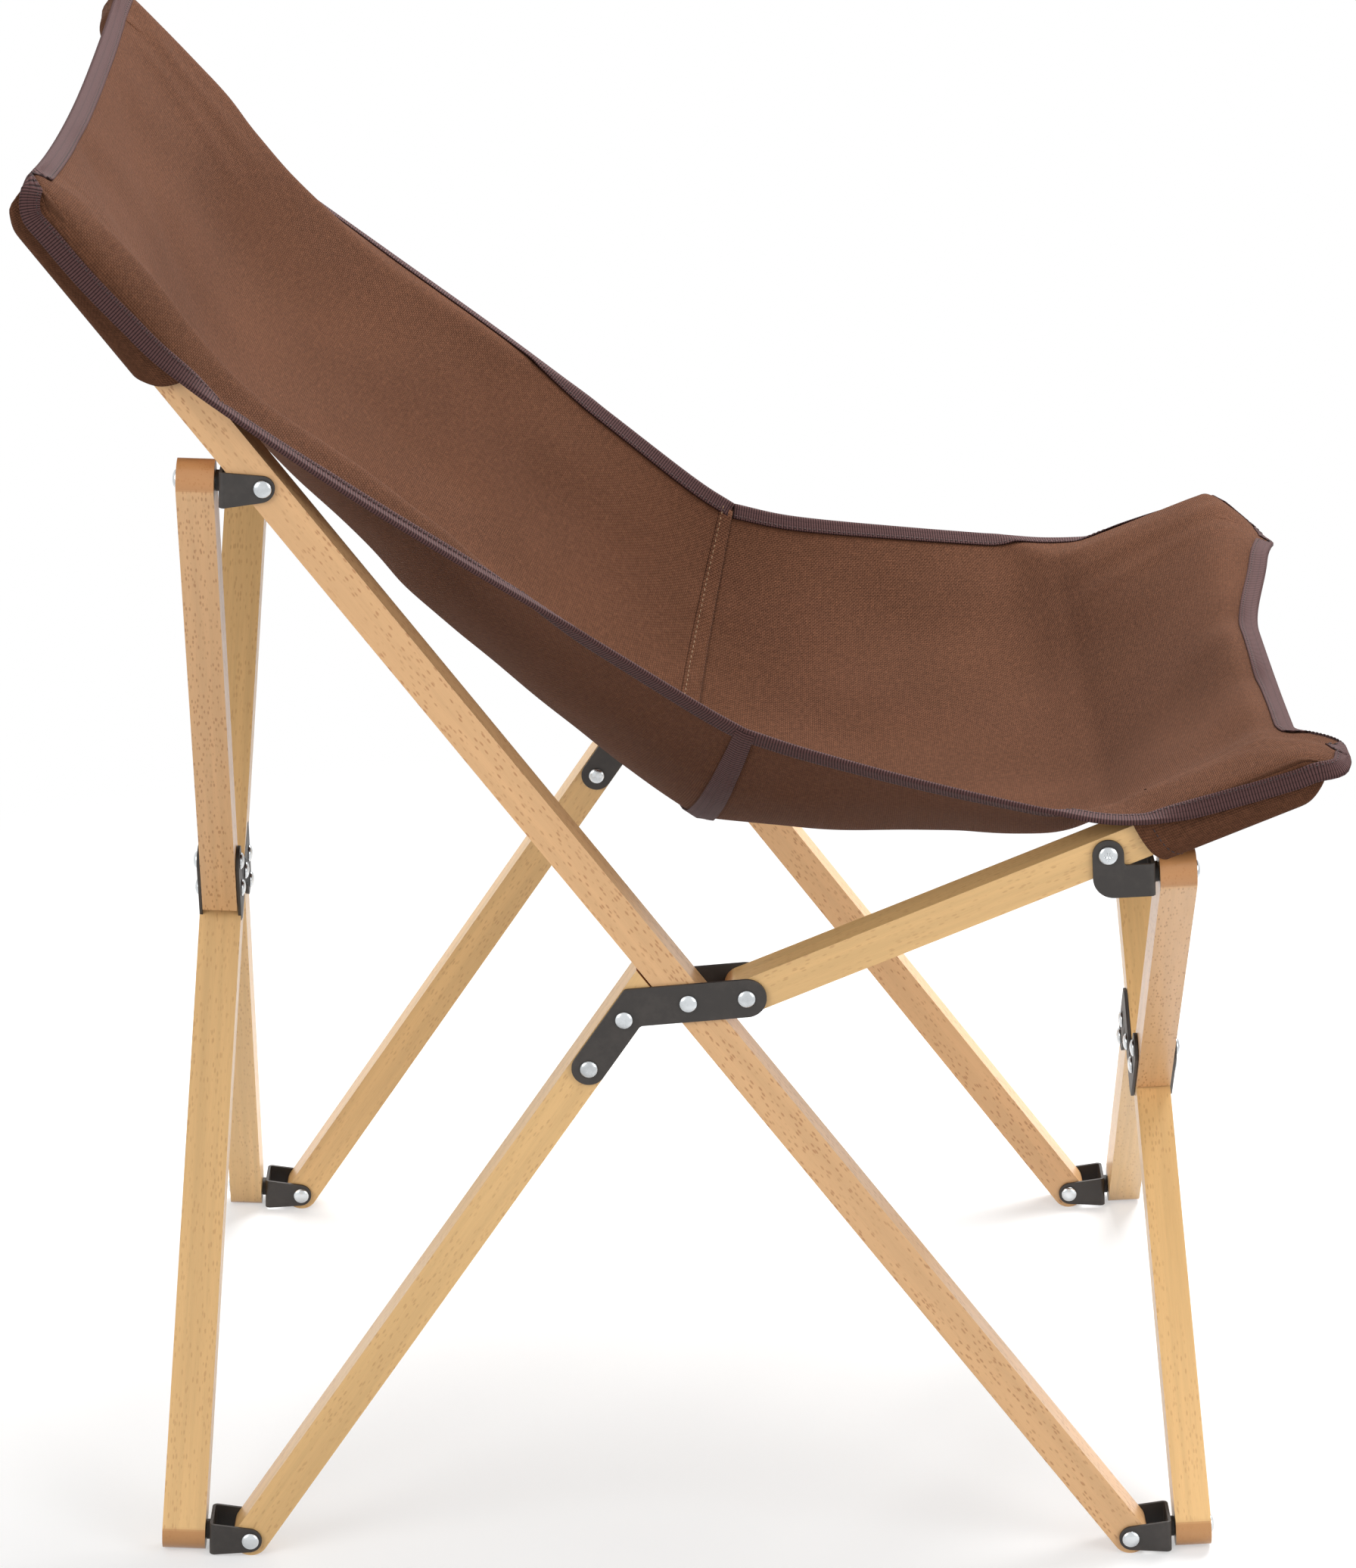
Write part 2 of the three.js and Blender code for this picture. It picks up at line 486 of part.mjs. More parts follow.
function clothSheet(panel) {
  const seamInset = SEAM_GAP / (2 * (panel.cornerRun - panel.seamRun));
  const pointAt = (row, column) => {
    const share = seamInset + (row / CLOTH_ROWS) * (1 - seamInset);
    return clothPoint(panel, share, (2 * column) / CLOTH_COLUMNS - 1);
  };
  const positions = [];
  for (const face of [1, -1]) {
    for (let row = 0; row <= CLOTH_ROWS; row += 1) {
      for (let column = 0; column <= CLOTH_COLUMNS; column += 1) {
        const rowStep = pointAt(Math.min(row + 1, CLOTH_ROWS), column);
        rowStep.sub(pointAt(Math.max(row - 1, 0), column));
        const columnStep = pointAt(row, Math.min(column + 1, CLOTH_COLUMNS));
        columnStep.sub(pointAt(row, Math.max(column - 1, 0)));
        const normal = columnStep.cross(rowStep).normalize().multiplyScalar(panel.upper);
        const point = pointAt(row, column).addScaledVector(normal, (face * CLOTH_THICKNESS) / 2);
        positions.push(point.x, point.y, point.z);
      }
    }
  }
  const width = CLOTH_COLUMNS + 1;
  const layer = (CLOTH_ROWS + 1) * width;
  const index = [];
  const quad = (a, b, c, d) => index.push(a, b, c, a, c, d);
  for (let row = 0; row < CLOTH_ROWS; row += 1) {
    for (let column = 0; column < CLOTH_COLUMNS; column += 1) {
      const corner = row * width + column;
      quad(corner, corner + 1, corner + width + 1, corner + width);
      quad(layer + corner, layer + corner + width, layer + corner + width + 1, layer + corner + 1);
    }
  }
  const rim = [];
  for (let column = 0; column < CLOTH_COLUMNS; column += 1) rim.push(column);
  for (let row = 0; row < CLOTH_ROWS; row += 1) rim.push(row * width + CLOTH_COLUMNS);
  for (let column = CLOTH_COLUMNS; column > 0; column -= 1) rim.push(CLOTH_ROWS * width + column);
  for (let row = CLOTH_ROWS; row > 0; row -= 1) rim.push(row * width);
  rim.forEach((start, place) => {
    const end = rim[(place + 1) % rim.length];
    quad(start, layer + start, layer + end, end);
  });
  if (panel.upper < 0) index.reverse();
  const geometry = new THREE.BufferGeometry();
  geometry.setAttribute('position', new THREE.Float32BufferAttribute(positions, 3));
  geometry.setIndex(index);
  return geometry;
}

// A pocket is a sleeve round the end of its bar, open at the mouth.
function pocketBlock(panel, side, room, mouth, tip) {
  const half = HALF_BAR + room;
  const outline = new THREE.Shape();
  outline.absarc(tip - half, 0, half, -Math.PI / 2, Math.PI / 2, false);
  outline.lineTo(mouth, half);
  outline.lineTo(mouth, -half);
  const depth = BAR_DEPTH + 2 * room;
  const settings = { depth, bevelEnabled: false, curveSegments: ROUND_STEPS };
  const block = new THREE.ExtrudeGeometry(outline, settings).translate(0, 0, -depth / 2);
  block.rotateZ(radians(panel.angle)).translate(panel.start.x, panel.start.y, 0);
  return block.rotateX(Math.PI / 2).translate(0, side * HALF_WIDTH, PIVOT_HEIGHT);
}

function slingPanel(panel) {
  let cloth = toSolid(clothSheet(panel));
  const innerTip = panel.barTip + POCKET_END_ROOM;
  for (const side of [-1, 1]) {
    const room = POCKET_ROOM + POCKET_WALL;
    const outer = pocketBlock(panel, side, room, panel.pocketMouth, innerTip + POCKET_WALL);
    cloth = cloth.add(toSolid(outer));
  }
  for (const side of [-1, 1]) {
    const inner = pocketBlock(panel, side, POCKET_ROOM, panel.pocketMouth - BAR_WIDTH, innerTip);
    cloth = cloth.subtract(toSolid(inner));
  }
  return toGeometry(cloth);
}

// Assembly
const chair = new THREE.Group();

function place(group, name, geometry, material, position = centrePivot, degrees = 0) {
  const mesh = new THREE.Mesh(geometry, material);
  mesh.name = name;
  mesh.position.set(position.x, position.y, 0);
  mesh.rotation.z = radians(degrees);
  group.add(mesh);
  return mesh;
}

const SIDE_GRIP = BAR_DEPTH + 2 * (SIDE_CLEARANCE + PLATE_THICKNESS);
const BRACKET_GRIP = BAR_DEPTH + 2 * (SIDE_CLEARANCE + BRACKET_THICKNESS);
const DOGLEG_PLANE = BAR_DEPTH / 2 + SIDE_CLEARANCE + PLATE_THICKNESS / 2;
const REAR_OUT_ANGLE = REAR_PLANE_ANGLE + 90;
const FRONT_OUT_ANGLE = FRONT_PLANE_ANGLE - 90;

// The bolts at these corners run right through bar and bracket; at the others they end at the bar's face.
const THROUGH_BOLTS = new Set(['right_rear_top', 'left_rear_top', 'right_front_top']);
const boreFor = (corner) => (THROUGH_BOLTS.has(corner) ? HOLE_RADIUS : 0);

function sideFrame(side, lateral) {
  const frame = new THREE.Group();
  frame.position.set(0, lateral, PIVOT_HEIGHT);
  frame.rotation.x = Math.PI / 2;
  place(frame, `${side}_long_bar`, longBar(), beech, centrePivot, LONG_BAR_ANGLE);
  place(frame, `${side}_rear_leg`, rearLeg(), beech, legStart, LEG_ANGLE);
  place(frame, `${side}_seat_rail`, seatRail(), beech, railPivot, RAIL_LEAN);
  const outside = -Math.sign(lateral) * DOGLEG_PLANE;
  place(frame, `${side}_dogleg_plate_outer`, doglegPlate().translate(0, 0, outside), blackSteel);
  place(frame, `${side}_dogleg_plate_inner`, doglegPlate().translate(0, 0, -outside), blackSteel);
  place(frame, `${side}_centre_pivot_rivet`, rivet(SIDE_GRIP), zinc, centrePivot);
  place(frame, `${side}_rail_pivot_rivet`, rivet(SIDE_GRIP), zinc, railPivot);
  place(frame, `${side}_leg_rivet_upper`, rivet(SIDE_GRIP), zinc, legRivet1);
  place(frame, `${side}_leg_rivet_lower`, rivet(SIDE_GRIP), zinc, legRivet2);
  const corners = [
    { corner: 'rear_top', at: rearBracket, angle: REAR_OUT_ANGLE, make: taperedBracket },
    { corner: 'rear_foot', at: rearFoot, angle: REAR_OUT_ANGLE, make: taperedBracket },
    { corner: 'front_foot', at: frontFoot, angle: FRONT_OUT_ANGLE, make: taperedBracket },
    { corner: 'front_top', at: frontBracket, angle: FRONT_OUT_ANGLE, make: hookedBracket },
  ];
  for (const { corner, at, angle, make } of corners) {
    const name = `${side}_${corner}`;
    const head = corner === 'front_top' ? SCREW_HEAD_RADIUS : HEAD_RADIUS;
    place(frame, `${name}_bracket`, make(boreFor(name)), blackSteel, at, angle);
    place(frame, `${name}_rivet`, rivet(BRACKET_GRIP, head), zinc, at, angle);
  }
  return frame;
}

// A crossed pair stands between its upper and lower bolts; outward is +1 in front and -1 behind.
function crossedFrame(name, lowBolt, topBolt, up, outward) {
  const pair = crossedPair(FRAME_WIDTH, topBolt.distanceTo(lowBolt));
  const frame = new THREE.Group();
  const upAxis = new THREE.Vector3(up.x, 0, up.y);
  const acrossAxis = new THREE.Vector3(0, 1, 0);
  const outAxis = new THREE.Vector3().crossVectors(acrossAxis, upAxis);
  const middle = lowBolt.clone().add(topBolt).multiplyScalar(0.5);
  frame.matrix.makeBasis(acrossAxis, upAxis, outAxis).setPosition(middle.x, 0, middle.y + PIVOT_HEIGHT);
  frame.matrix.decompose(frame.position, frame.quaternion, frame.scale);

  const whole = new THREE.Group();
  whole.rotation.z = -pair.lean;
  place(whole, `${name}_cross_bar`, crossBar(pair), beech);

  const split = new THREE.Group();
  split.rotation.z = pair.lean - pair.splay;
  place(split, `${name}_cross_half_upper`, crossHalfBar(pair), beech);
  place(split, `${name}_cross_half_lower`, crossHalfBar(pair), beech, centrePivot, 180);
  place(split, `${name}_cross_plate_outer`, riveted(pair, outward), blackSteel);
  place(split, `${name}_cross_plate_inner`, punched(pair, outward), blackSteel);
  place(split, `${name}_cross_pivot_rivet`, rivet(CROSS_GRIP), zinc);

  const nutSeat = HALF_BAR + NECK_LENGTH + BRACKET_THICKNESS + 2 * SIDE_CLEARANCE;
  const ends = [
    { corner: `right_${name}_top`, group: split, x: -CROSS_OFFSET, y: pair.boltAt },
    { corner: `left_${name}_foot`, group: split, x: CROSS_OFFSET, y: -pair.boltAt },
    { corner: `left_${name}_top`, group: whole, x: 0, y: pair.arm },
    { corner: `right_${name}_foot`, group: whole, x: 0, y: -pair.arm },
  ];
  for (const { corner, group, x, y } of ends) {
    const bolt = crossBolt(THROUGH_BOLTS.has(corner) ? nutSeat : 0);
    if (outward < 0) bolt.rotateX(Math.PI);
    place(group, `${corner}_bolt`, bolt, zinc, new THREE.Vector2(x, y));
  }
  frame.add(whole, split);
  return frame;
}

chair.add(sideFrame('right', -HALF_WIDTH));
chair.add(sideFrame('left', HALF_WIDTH));
chair.add(crossedFrame('rear', rearLowBolt, rearTopBolt, rearUp, -1));
chair.add(crossedFrame('front', frontLowBolt, frontTopBolt, frontUp, 1));
place(chair, 'sling_back_panel', slingPanel(backPanel), canvas);
place(chair, 'sling_seat_panel', slingPanel(seatPanel), canvas);

// The origin is on the floor, under the middle of the whole chair.
chair.updateMatrixWorld(true);
const bounds = new THREE.Box3().setFromObject(chair, true);
chair.position.set(-(bounds.min.x + bounds.max.x) / 2, 0, -bounds.min.z);

export default chair;
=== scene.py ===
"""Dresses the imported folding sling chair: beech bars, black steel, zinc fasteners and a canvas sling."""

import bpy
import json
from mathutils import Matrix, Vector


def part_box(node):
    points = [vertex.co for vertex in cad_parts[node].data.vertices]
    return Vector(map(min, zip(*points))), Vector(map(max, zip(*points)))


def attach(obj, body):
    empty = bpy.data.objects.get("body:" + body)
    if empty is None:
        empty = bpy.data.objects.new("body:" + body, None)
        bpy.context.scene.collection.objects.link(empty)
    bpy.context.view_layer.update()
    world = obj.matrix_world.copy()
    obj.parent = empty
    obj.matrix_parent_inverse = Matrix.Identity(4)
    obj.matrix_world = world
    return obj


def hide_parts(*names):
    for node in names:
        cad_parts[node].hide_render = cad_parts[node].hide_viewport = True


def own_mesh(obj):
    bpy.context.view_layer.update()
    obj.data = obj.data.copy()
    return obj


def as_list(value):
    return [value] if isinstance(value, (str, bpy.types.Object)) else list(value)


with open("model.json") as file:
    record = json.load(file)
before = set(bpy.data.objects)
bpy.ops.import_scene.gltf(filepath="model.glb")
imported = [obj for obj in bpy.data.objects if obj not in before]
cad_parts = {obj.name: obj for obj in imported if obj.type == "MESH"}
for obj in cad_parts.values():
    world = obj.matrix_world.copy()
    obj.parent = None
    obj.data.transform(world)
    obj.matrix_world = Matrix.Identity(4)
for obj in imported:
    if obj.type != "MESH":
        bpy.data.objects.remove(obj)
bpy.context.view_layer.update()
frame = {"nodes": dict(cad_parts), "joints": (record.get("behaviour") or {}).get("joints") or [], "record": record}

import json
import math
from bisect import bisect
from collections import namedtuple
from functools import lru_cache
from itertools import accumulate

import bmesh
import bpy
from bpy.props import FloatProperty, FloatVectorProperty, PointerProperty
from mathutils import Matrix, Vector, noise

bl_info = {
    "name": "Folding Sling Chair",
    "version": (1, 0, 0),
    "blender": (4, 5, 0),
    "location": "View3D > Sidebar > Sling Chair",
    "description": "Builds the finished look of a folding chair with a canvas sling",
    "category": "Object",
}

# The chair's frame: +X is its front, +Y the sitter's left, +Z up, in metres.
FRONT = Vector((1, 0, 0))
ACROSS = Vector((0, 1, 0))
UP = Vector((0, 0, 1))
SIDES = {"right": -1, "left": 1}
CORNERS = ("rear_top", "rear_foot", "front_foot", "front_top")
OUTWARD = {"rear": -1, "front": 1}
LONG_BOLTS = ("right_rear_top", "left_rear_top", "right_front_top")


class TimberSettings(bpy.types.PropertyGroup):
    """Beech bars."""

    edge_round: FloatProperty(
        name="Edge Round", description="Rounding of a bar's long edges",
        default=0.0028, min=0.0005, max=0.006, unit="LENGTH")
    flecked: FloatVectorProperty(
        name="Flecked Beech", description="Ground colour of the pinker, flecked bars",
        default=(0.73, 0.435, 0.21), subtype="COLOR", min=0, max=1)
    straight: FloatVectorProperty(
        name="Straight Beech", description="Ground colour of the yellower, straight-grained bars",
        default=(0.76, 0.48, 0.205), subtype="COLOR", min=0, max=1)
    ray: FloatVectorProperty(
        name="Ray Flecks", description="Colour of the short red-brown flecks along the grain",
        default=(0.46, 0.2, 0.075), subtype="COLOR", min=0, max=1)
    end: FloatVectorProperty(
        name="End Grain", description="Colour of the end grain on the rounded ends",
        default=(0.5, 0.22, 0.075), subtype="COLOR", min=0, max=1)


class SteelSettings(bpy.types.PropertyGroup):
    """Plates, brackets and fasteners."""

    edge_round: FloatProperty(
        name="Edge Round", description="Rounding of the sheet steel's edges",
        default=0.00045, min=0.0001, max=0.001, unit="LENGTH")
    black: FloatVectorProperty(
        name="Black Paint", description="Colour of the matte paint",
        default=(0.032, 0.027, 0.024), subtype="COLOR", min=0, max=1)
    zinc: FloatVectorProperty(
        name="Zinc", description="Colour of the zinc plating",
        default=(0.66, 0.69, 0.71), subtype="COLOR", min=0, max=1)
    head_height: FloatProperty(
        name="Head Height", description="Height of a domed rivet or bolt head",
        default=0.0026, min=0.001, max=0.005, unit="LENGTH")
    shank: FloatProperty(
        name="Shank Radius", description="Radius of rivet and bolt shanks",
        default=0.003, min=0.001, max=0.006, unit="LENGTH")


class SlingSettings(bpy.types.PropertyGroup):
    """Canvas sling and its trim."""

    cloth: FloatVectorProperty(
        name="Canvas", description="Colour of the canvas",
        default=(0.128, 0.053, 0.028), subtype="COLOR", min=0, max=1)
    tape: FloatVectorProperty(
        name="Edge Tape", description="Colour of the ribbed edge tape",
        default=(0.07, 0.034, 0.033), subtype="COLOR", min=0, max=1)
    seam_thread: FloatVectorProperty(
        name="Seam Thread", description="Colour of the pale thread along the seam",
        default=(0.32, 0.19, 0.1), subtype="COLOR", min=0, max=1)
    dark_thread: FloatVectorProperty(
        name="Tape Thread", description="Colour of the thread along the edge tape",
        default=(0.05, 0.026, 0.024), subtype="COLOR", min=0, max=1)
    thickness: FloatProperty(
        name="Thickness", description="Thickness of one layer of canvas",
        default=0.0012, min=0.0004, max=0.003, unit="LENGTH")
    tape_width: FloatProperty(
        name="Tape Width", description="Width of the edge tape on each face of the cloth",
        default=0.0102, min=0.006, max=0.03, unit="LENGTH")
    swell: FloatProperty(
        name="Swell", description="Height of the slack swells in the cloth",
        default=0.0028, min=0, max=0.01, unit="LENGTH")


class StageSettings(bpy.types.PropertyGroup):
    """Camera, lights and floor."""

    lens: FloatProperty(
        name="Focal Length", description="Focal length in millimetres on a 36 mm frame",
        default=121.6, min=20, max=300)
    pitch: FloatProperty(
        name="Camera Pitch", description="How far the camera looks down",
        default=math.radians(20.11), subtype="ANGLE", unit="ROTATION")
    yaw: FloatProperty(
        name="Camera Yaw", description="How far the camera looks towards the chair's front",
        default=math.radians(0.31), subtype="ANGLE", unit="ROTATION")
    floor: FloatVectorProperty(
        name="Floor", description="Colour of the floor",
        default=(0.55, 0.55, 0.55), subtype="COLOR", min=0, max=1)


def settings(name):
    return getattr(bpy.context.scene, f"sling_chair_{name}")


# Places read from the frame

def middle(node_name):
    low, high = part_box(node_name)
    return (Vector(low) + Vector(high)) / 2


def hinge_axis(name):
    return Vector(next(joint for joint in frame["joints"] if joint["name"] == name)["axis"])


def placed(origin, run, normal):
    """A matrix with x along run and z along normal."""
    x = run.normalized()
    z = (normal - normal.dot(x) * x).normalized()
    matrix = Matrix((x, z.cross(x), z)).transposed().to_4x4()
    matrix.translation = origin
    return matrix


def spans(node_name, place):
    """How far a CAD node reaches along each axis of a place, as low and high ends."""
    back = place.inverted()
    points = [back @ vertex.co for vertex in frame["nodes"][node_name].data.vertices]
    return [(min(p[i] for p in points), max(p[i] for p in points)) for i in range(3)]


def body_of(node_name):
    bodies = frame["record"]["behaviour"]["bodies"]
    return next(body for body, nodes in bodies.items() if node_name in nodes)


CrossedPair = namedtuple("CrossedPair", "pivot normal up upper lower")
CROSS_OFFSET = 0.027


def crossed_pair(name):
    """A crossed pair's pivot, the normal and up of its plane, and the way each half bar runs out."""
    pivot = middle(f"{name}_cross_pivot_rivet")
    normal = hinge_axis(f"{name}_cross_hinge")
    runs = []
    for corner in (f"right_{name}_top", f"left_{name}_foot"):
        reach = middle(f"{corner}_bolt") - pivot
        reach -= reach.dot(normal) * normal
        splay = math.asin(CROSS_OFFSET / reach.length)
        runs.append(Matrix.Rotation(-splay, 3, normal) @ reach.normalized())
    return CrossedPair(pivot, normal, normal.cross(ACROSS), *runs)


# Mesh helpers

CORNER_SEGMENTS = 10


def bevel(bm, parts, offset, segments, affect="EDGES"):
    bmesh.ops.bevel(bm, geom=parts, offset=offset, offset_type="OFFSET", segments=segments,
                    profile=0.5, affect=affect, clamp_overlap=True, material=-1)


def sharp_edges(bm, least=math.radians(50)):
    bm.normal_update()
    return [edge for edge in bm.edges if len(edge.link_faces) == 2 and edge.calc_face_angle() > least]


def turned(bm, profile, steps):
    """Spins a profile of (radius, height) points round z and closes it."""
    verts = [bm.verts.new((radius, 0, height)) for radius, height in profile]
    edges = [bm.edges.new(pair) for pair in zip(verts, verts[1:])]
    bmesh.ops.spin(bm, geom=verts + edges, cent=(0, 0, 0), axis=(0, 0, 1),
                   angle=2 * math.pi, steps=steps, use_merge=True)
    bmesh.ops.remove_doubles(bm, verts=bm.verts, dist=1e-6)
    bmesh.ops.recalc_face_normals(bm, faces=bm.faces)


def rounded_sheet(bm, corners, thickness):
    """A flat plate from (x, y, rounding) corners, centred on z = 0."""
    verts = [bm.verts.new((x, y, 0)) for x, y, _ in corners]
    bm.faces.new(verts)
    for radius in sorted({corner[2] for corner in corners if corner[2] > 0}):
        rounded = [vert for vert, corner in zip(verts, corners) if corner[2] == radius]
        bevel(bm, rounded, radius, CORNER_SEGMENTS, affect="VERTICES")
    raised = bmesh.ops.extrude_face_region(bm, geom=bm.faces[:])
    moved = [item for item in raised["geom"] if isinstance(item, bmesh.types.BMVert)]
    bmesh.ops.translate(bm, vec=(0, 0, thickness), verts=moved)
    bmesh.ops.translate(bm, vec=(0, 0, -thickness / 2), verts=bm.verts)
    bmesh.ops.recalc_face_normals(bm, faces=bm.faces)


def bent_grid(columns, rows, place, cloth_size):
    """A grid of cloth whose points place(u, v) puts in the chair; its UV map is in metres of cloth."""
    bm = bmesh.new()
    layer = bm.loops.layers.uv.new("UVMap")
    bmesh.ops.create_grid(bm, x_segments=columns, y_segments=rows, size=0.5)
    low = min(vert.co.x for vert in bm.verts)
    width = max(vert.co.x for vert in bm.verts) - low
    shares = {vert: ((vert.co.x - low) / width, (vert.co.y - low) / width) for vert in bm.verts}
    for face in bm.faces:
        for loop in face.loops:
            u, v = shares[loop.vert]
            loop[layer].uv = (u * cloth_size[0], v * cloth_size[1])
    for vert, (u, v) in shares.items():
        vert.co = place(u, v)
    return bm


def stamp(bm, single, places):
    """Adds a copy of a small mesh at each place, and frees the small mesh."""
    mesh = bpy.data.meshes.new("stamp")
    single.to_mesh(mesh)
    single.free()
    for place in places:
        copied = mesh.copy()
        copied.transform(place)
        bm.from_mesh(copied)
        bpy.data.meshes.remove(copied)
    bpy.data.meshes.remove(mesh)


def piece(bm, name, material, body, nodes=()):
    """Makes the object, with its finish, the body it rides on and the CAD nodes it stands for."""
    mesh = bpy.data.meshes.new(name)
    for face in bm.faces:
        face.smooth = True
    bm.to_mesh(mesh)
    bm.free()
    obj = bpy.data.objects.new(name, mesh)
    bpy.context.scene.collection.objects.link(obj)
    mesh.materials.append(material)
    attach(obj, body)
    if nodes:
        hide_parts(*nodes)
    return obj


def even_normals(obj):
    modifier = obj.modifiers.new("Even normals", "WEIGHTED_NORMAL")
    modifier.keep_sharp = True
    modifier.weight = 90


# Shader helpers

def feed(tree, socket, value):
    """Links another node's output to a socket, or sets a plain value on it."""
    if isinstance(value, bpy.types.NodeSocket):
        tree.links.new(value, socket)
    else:
        socket.default_value = value


def node(tree, kind, inputs=None, **values):
    made = tree.nodes.new(kind)
    for key, value in values.items():
        setattr(made, key, value)
    for socket, value in (inputs or {}).items():
        feed(tree, made.inputs[socket], value)
    return made


def maths(tree, operation, first, second=0.0, clamp=False):
    made = node(tree, "ShaderNodeMath", {0: first, 1: second}, operation=operation, use_clamp=clamp)
    return made.outputs[0]


def ramp(tree, value, low, high):
    """A smooth step from 0 at low to 1 at high."""
    made = node(tree, "ShaderNodeMapRange", {"Value": value, "From Min": low, "From Max": high},
                interpolation_type="SMOOTHSTEP")
    return made.outputs["Result"]


def spread(tree, share, low, high):
    """A value from low at share 0 to high at share 1."""
    made = node(tree, "ShaderNodeMapRange", {"Value": share, "To Min": low, "To Max": high})
    return made.outputs["Result"]


def ridges(tree, phase):
    """Round ridges, one for each whole step of phase."""
    return maths(tree, "ABSOLUTE", maths(tree, "SINE", maths(tree, "MULTIPLY", phase, math.pi)))


def clouds(tree, vector, scale=1.0, detail=2.0, roughness=0.5):
    made = node(tree, "ShaderNodeTexNoise", {
        "Vector": vector, "Scale": scale, "Detail": detail, "Roughness": roughness})
    return made.outputs["Fac"]


def tinted(tree, share, first, second):
    """A colour between two colours or colour sockets."""
    made = node(tree, "ShaderNodeMix", {"Factor": share}, data_type="RGBA")
    for socket, value in ((6, first), (7, second)):
        plain = not isinstance(value, bpy.types.NodeSocket)
        feed(tree, made.inputs[socket], (*value, 1) if plain else value)
    return made.outputs[2]


def shaded(colour, factor):
    return [min(1, channel * factor) for channel in colour]


def new_group(name, inputs, outputs):
    """A shader node group with its inputs by default value and its named outputs; "vector" asks for a vector."""
    tree = bpy.data.node_groups.new(name, "ShaderNodeTree")
    for label, default in inputs.items():
        vector = isinstance(default, str)
        kind = "NodeSocketVector" if vector else "NodeSocketFloat"
        socket = tree.interface.new_socket(label, in_out="INPUT", socket_type=kind)
        if not vector:
            socket.default_value = default
    for label in outputs:
        tree.interface.new_socket(label, in_out="OUTPUT", socket_type="NodeSocketFloat")
    source = tree.nodes.new("NodeGroupInput")
    sink = tree.nodes.new("NodeGroupOutput")
    return tree, source.outputs, sink


def give(tree, sink, **outputs):
    for label, value in outputs.items():
        tree.links.new(value, sink.inputs[label.title()])


def stretched(tree, vector, scale):
    made = node(tree, "ShaderNodeVectorMath", {0: vector, 1: scale}, operation="MULTIPLY")
    return made.outputs[0]


def new_material(name):
    material = bpy.data.materials.new(name)
    material.use_nodes = True
    tree = material.node_tree
    return material, tree, tree.nodes["Principled BSDF"]


def bumped(tree, shader, height, distance, strength):
    made = node(tree, "ShaderNodeBump", {"Height": height, "Distance": distance, "Strength": strength})
    tree.links.new(made.outputs["Normal"], shader.inputs["Normal"])


def use_group(tree, group, **inputs):
    made = node(tree, "ShaderNodeGroup", node_tree=group)
    for label, value in inputs.items():
        feed(tree, made.inputs[label.replace("_", " ").title()], value)
    return made.outputs


# Finishes

FLECKS_PER_METRE = 620.0


def grain_group():
    """Beech figure on grain coordinates: x along the bar, in metres."""
    tree, given, sink = new_group("Beech grain", {"Grain": "vector", "Fleck Length": 0.004}, (
        "Rings", "Flecks", "Pores", "Sheen"))
    rings = clouds(tree, stretched(tree, given["Grain"], (3.5, 110, 150)), detail=4.0, roughness=0.55)
    pores = clouds(tree, stretched(tree, given["Grain"], (60, 2600, 2600)))
    along = maths(tree, "DIVIDE", 1.0, given["Fleck Length"])
    parts = node(tree, "ShaderNodeSeparateXYZ", {0: given["Grain"]})
    fleck_at = node(tree, "ShaderNodeCombineXYZ", {
        "X": maths(tree, "MULTIPLY", parts.outputs["X"], along),
        "Y": maths(tree, "MULTIPLY", parts.outputs["Y"], FLECKS_PER_METRE),
        "Z": maths(tree, "MULTIPLY", parts.outputs["Z"], FLECKS_PER_METRE)})
    cells = node(tree, "ShaderNodeTexVoronoi", {"Vector": fleck_at.outputs[0], "Scale": 1.0, "Randomness": 1.0})
    dash = ramp(tree, cells.outputs["Distance"], 0.46, 0.2)
    drawn = node(tree, "ShaderNodeSeparateColor", {0: cells.outputs["Color"]})
    some = ramp(tree, drawn.outputs[0], 0.38, 0.5)
    crowd = ramp(tree, clouds(tree, stretched(tree, given["Grain"], (9, 60, 60))), 0.28, 0.55)
    flecks = maths(tree, "MULTIPLY", maths(tree, "MULTIPLY", dash, some), crowd)
    sheen = clouds(tree, stretched(tree, given["Grain"], (40, 90, 90)), detail=3.0)
    give(tree, sink, rings=rings, flecks=flecks, pores=pores, sheen=sheen)
    return tree


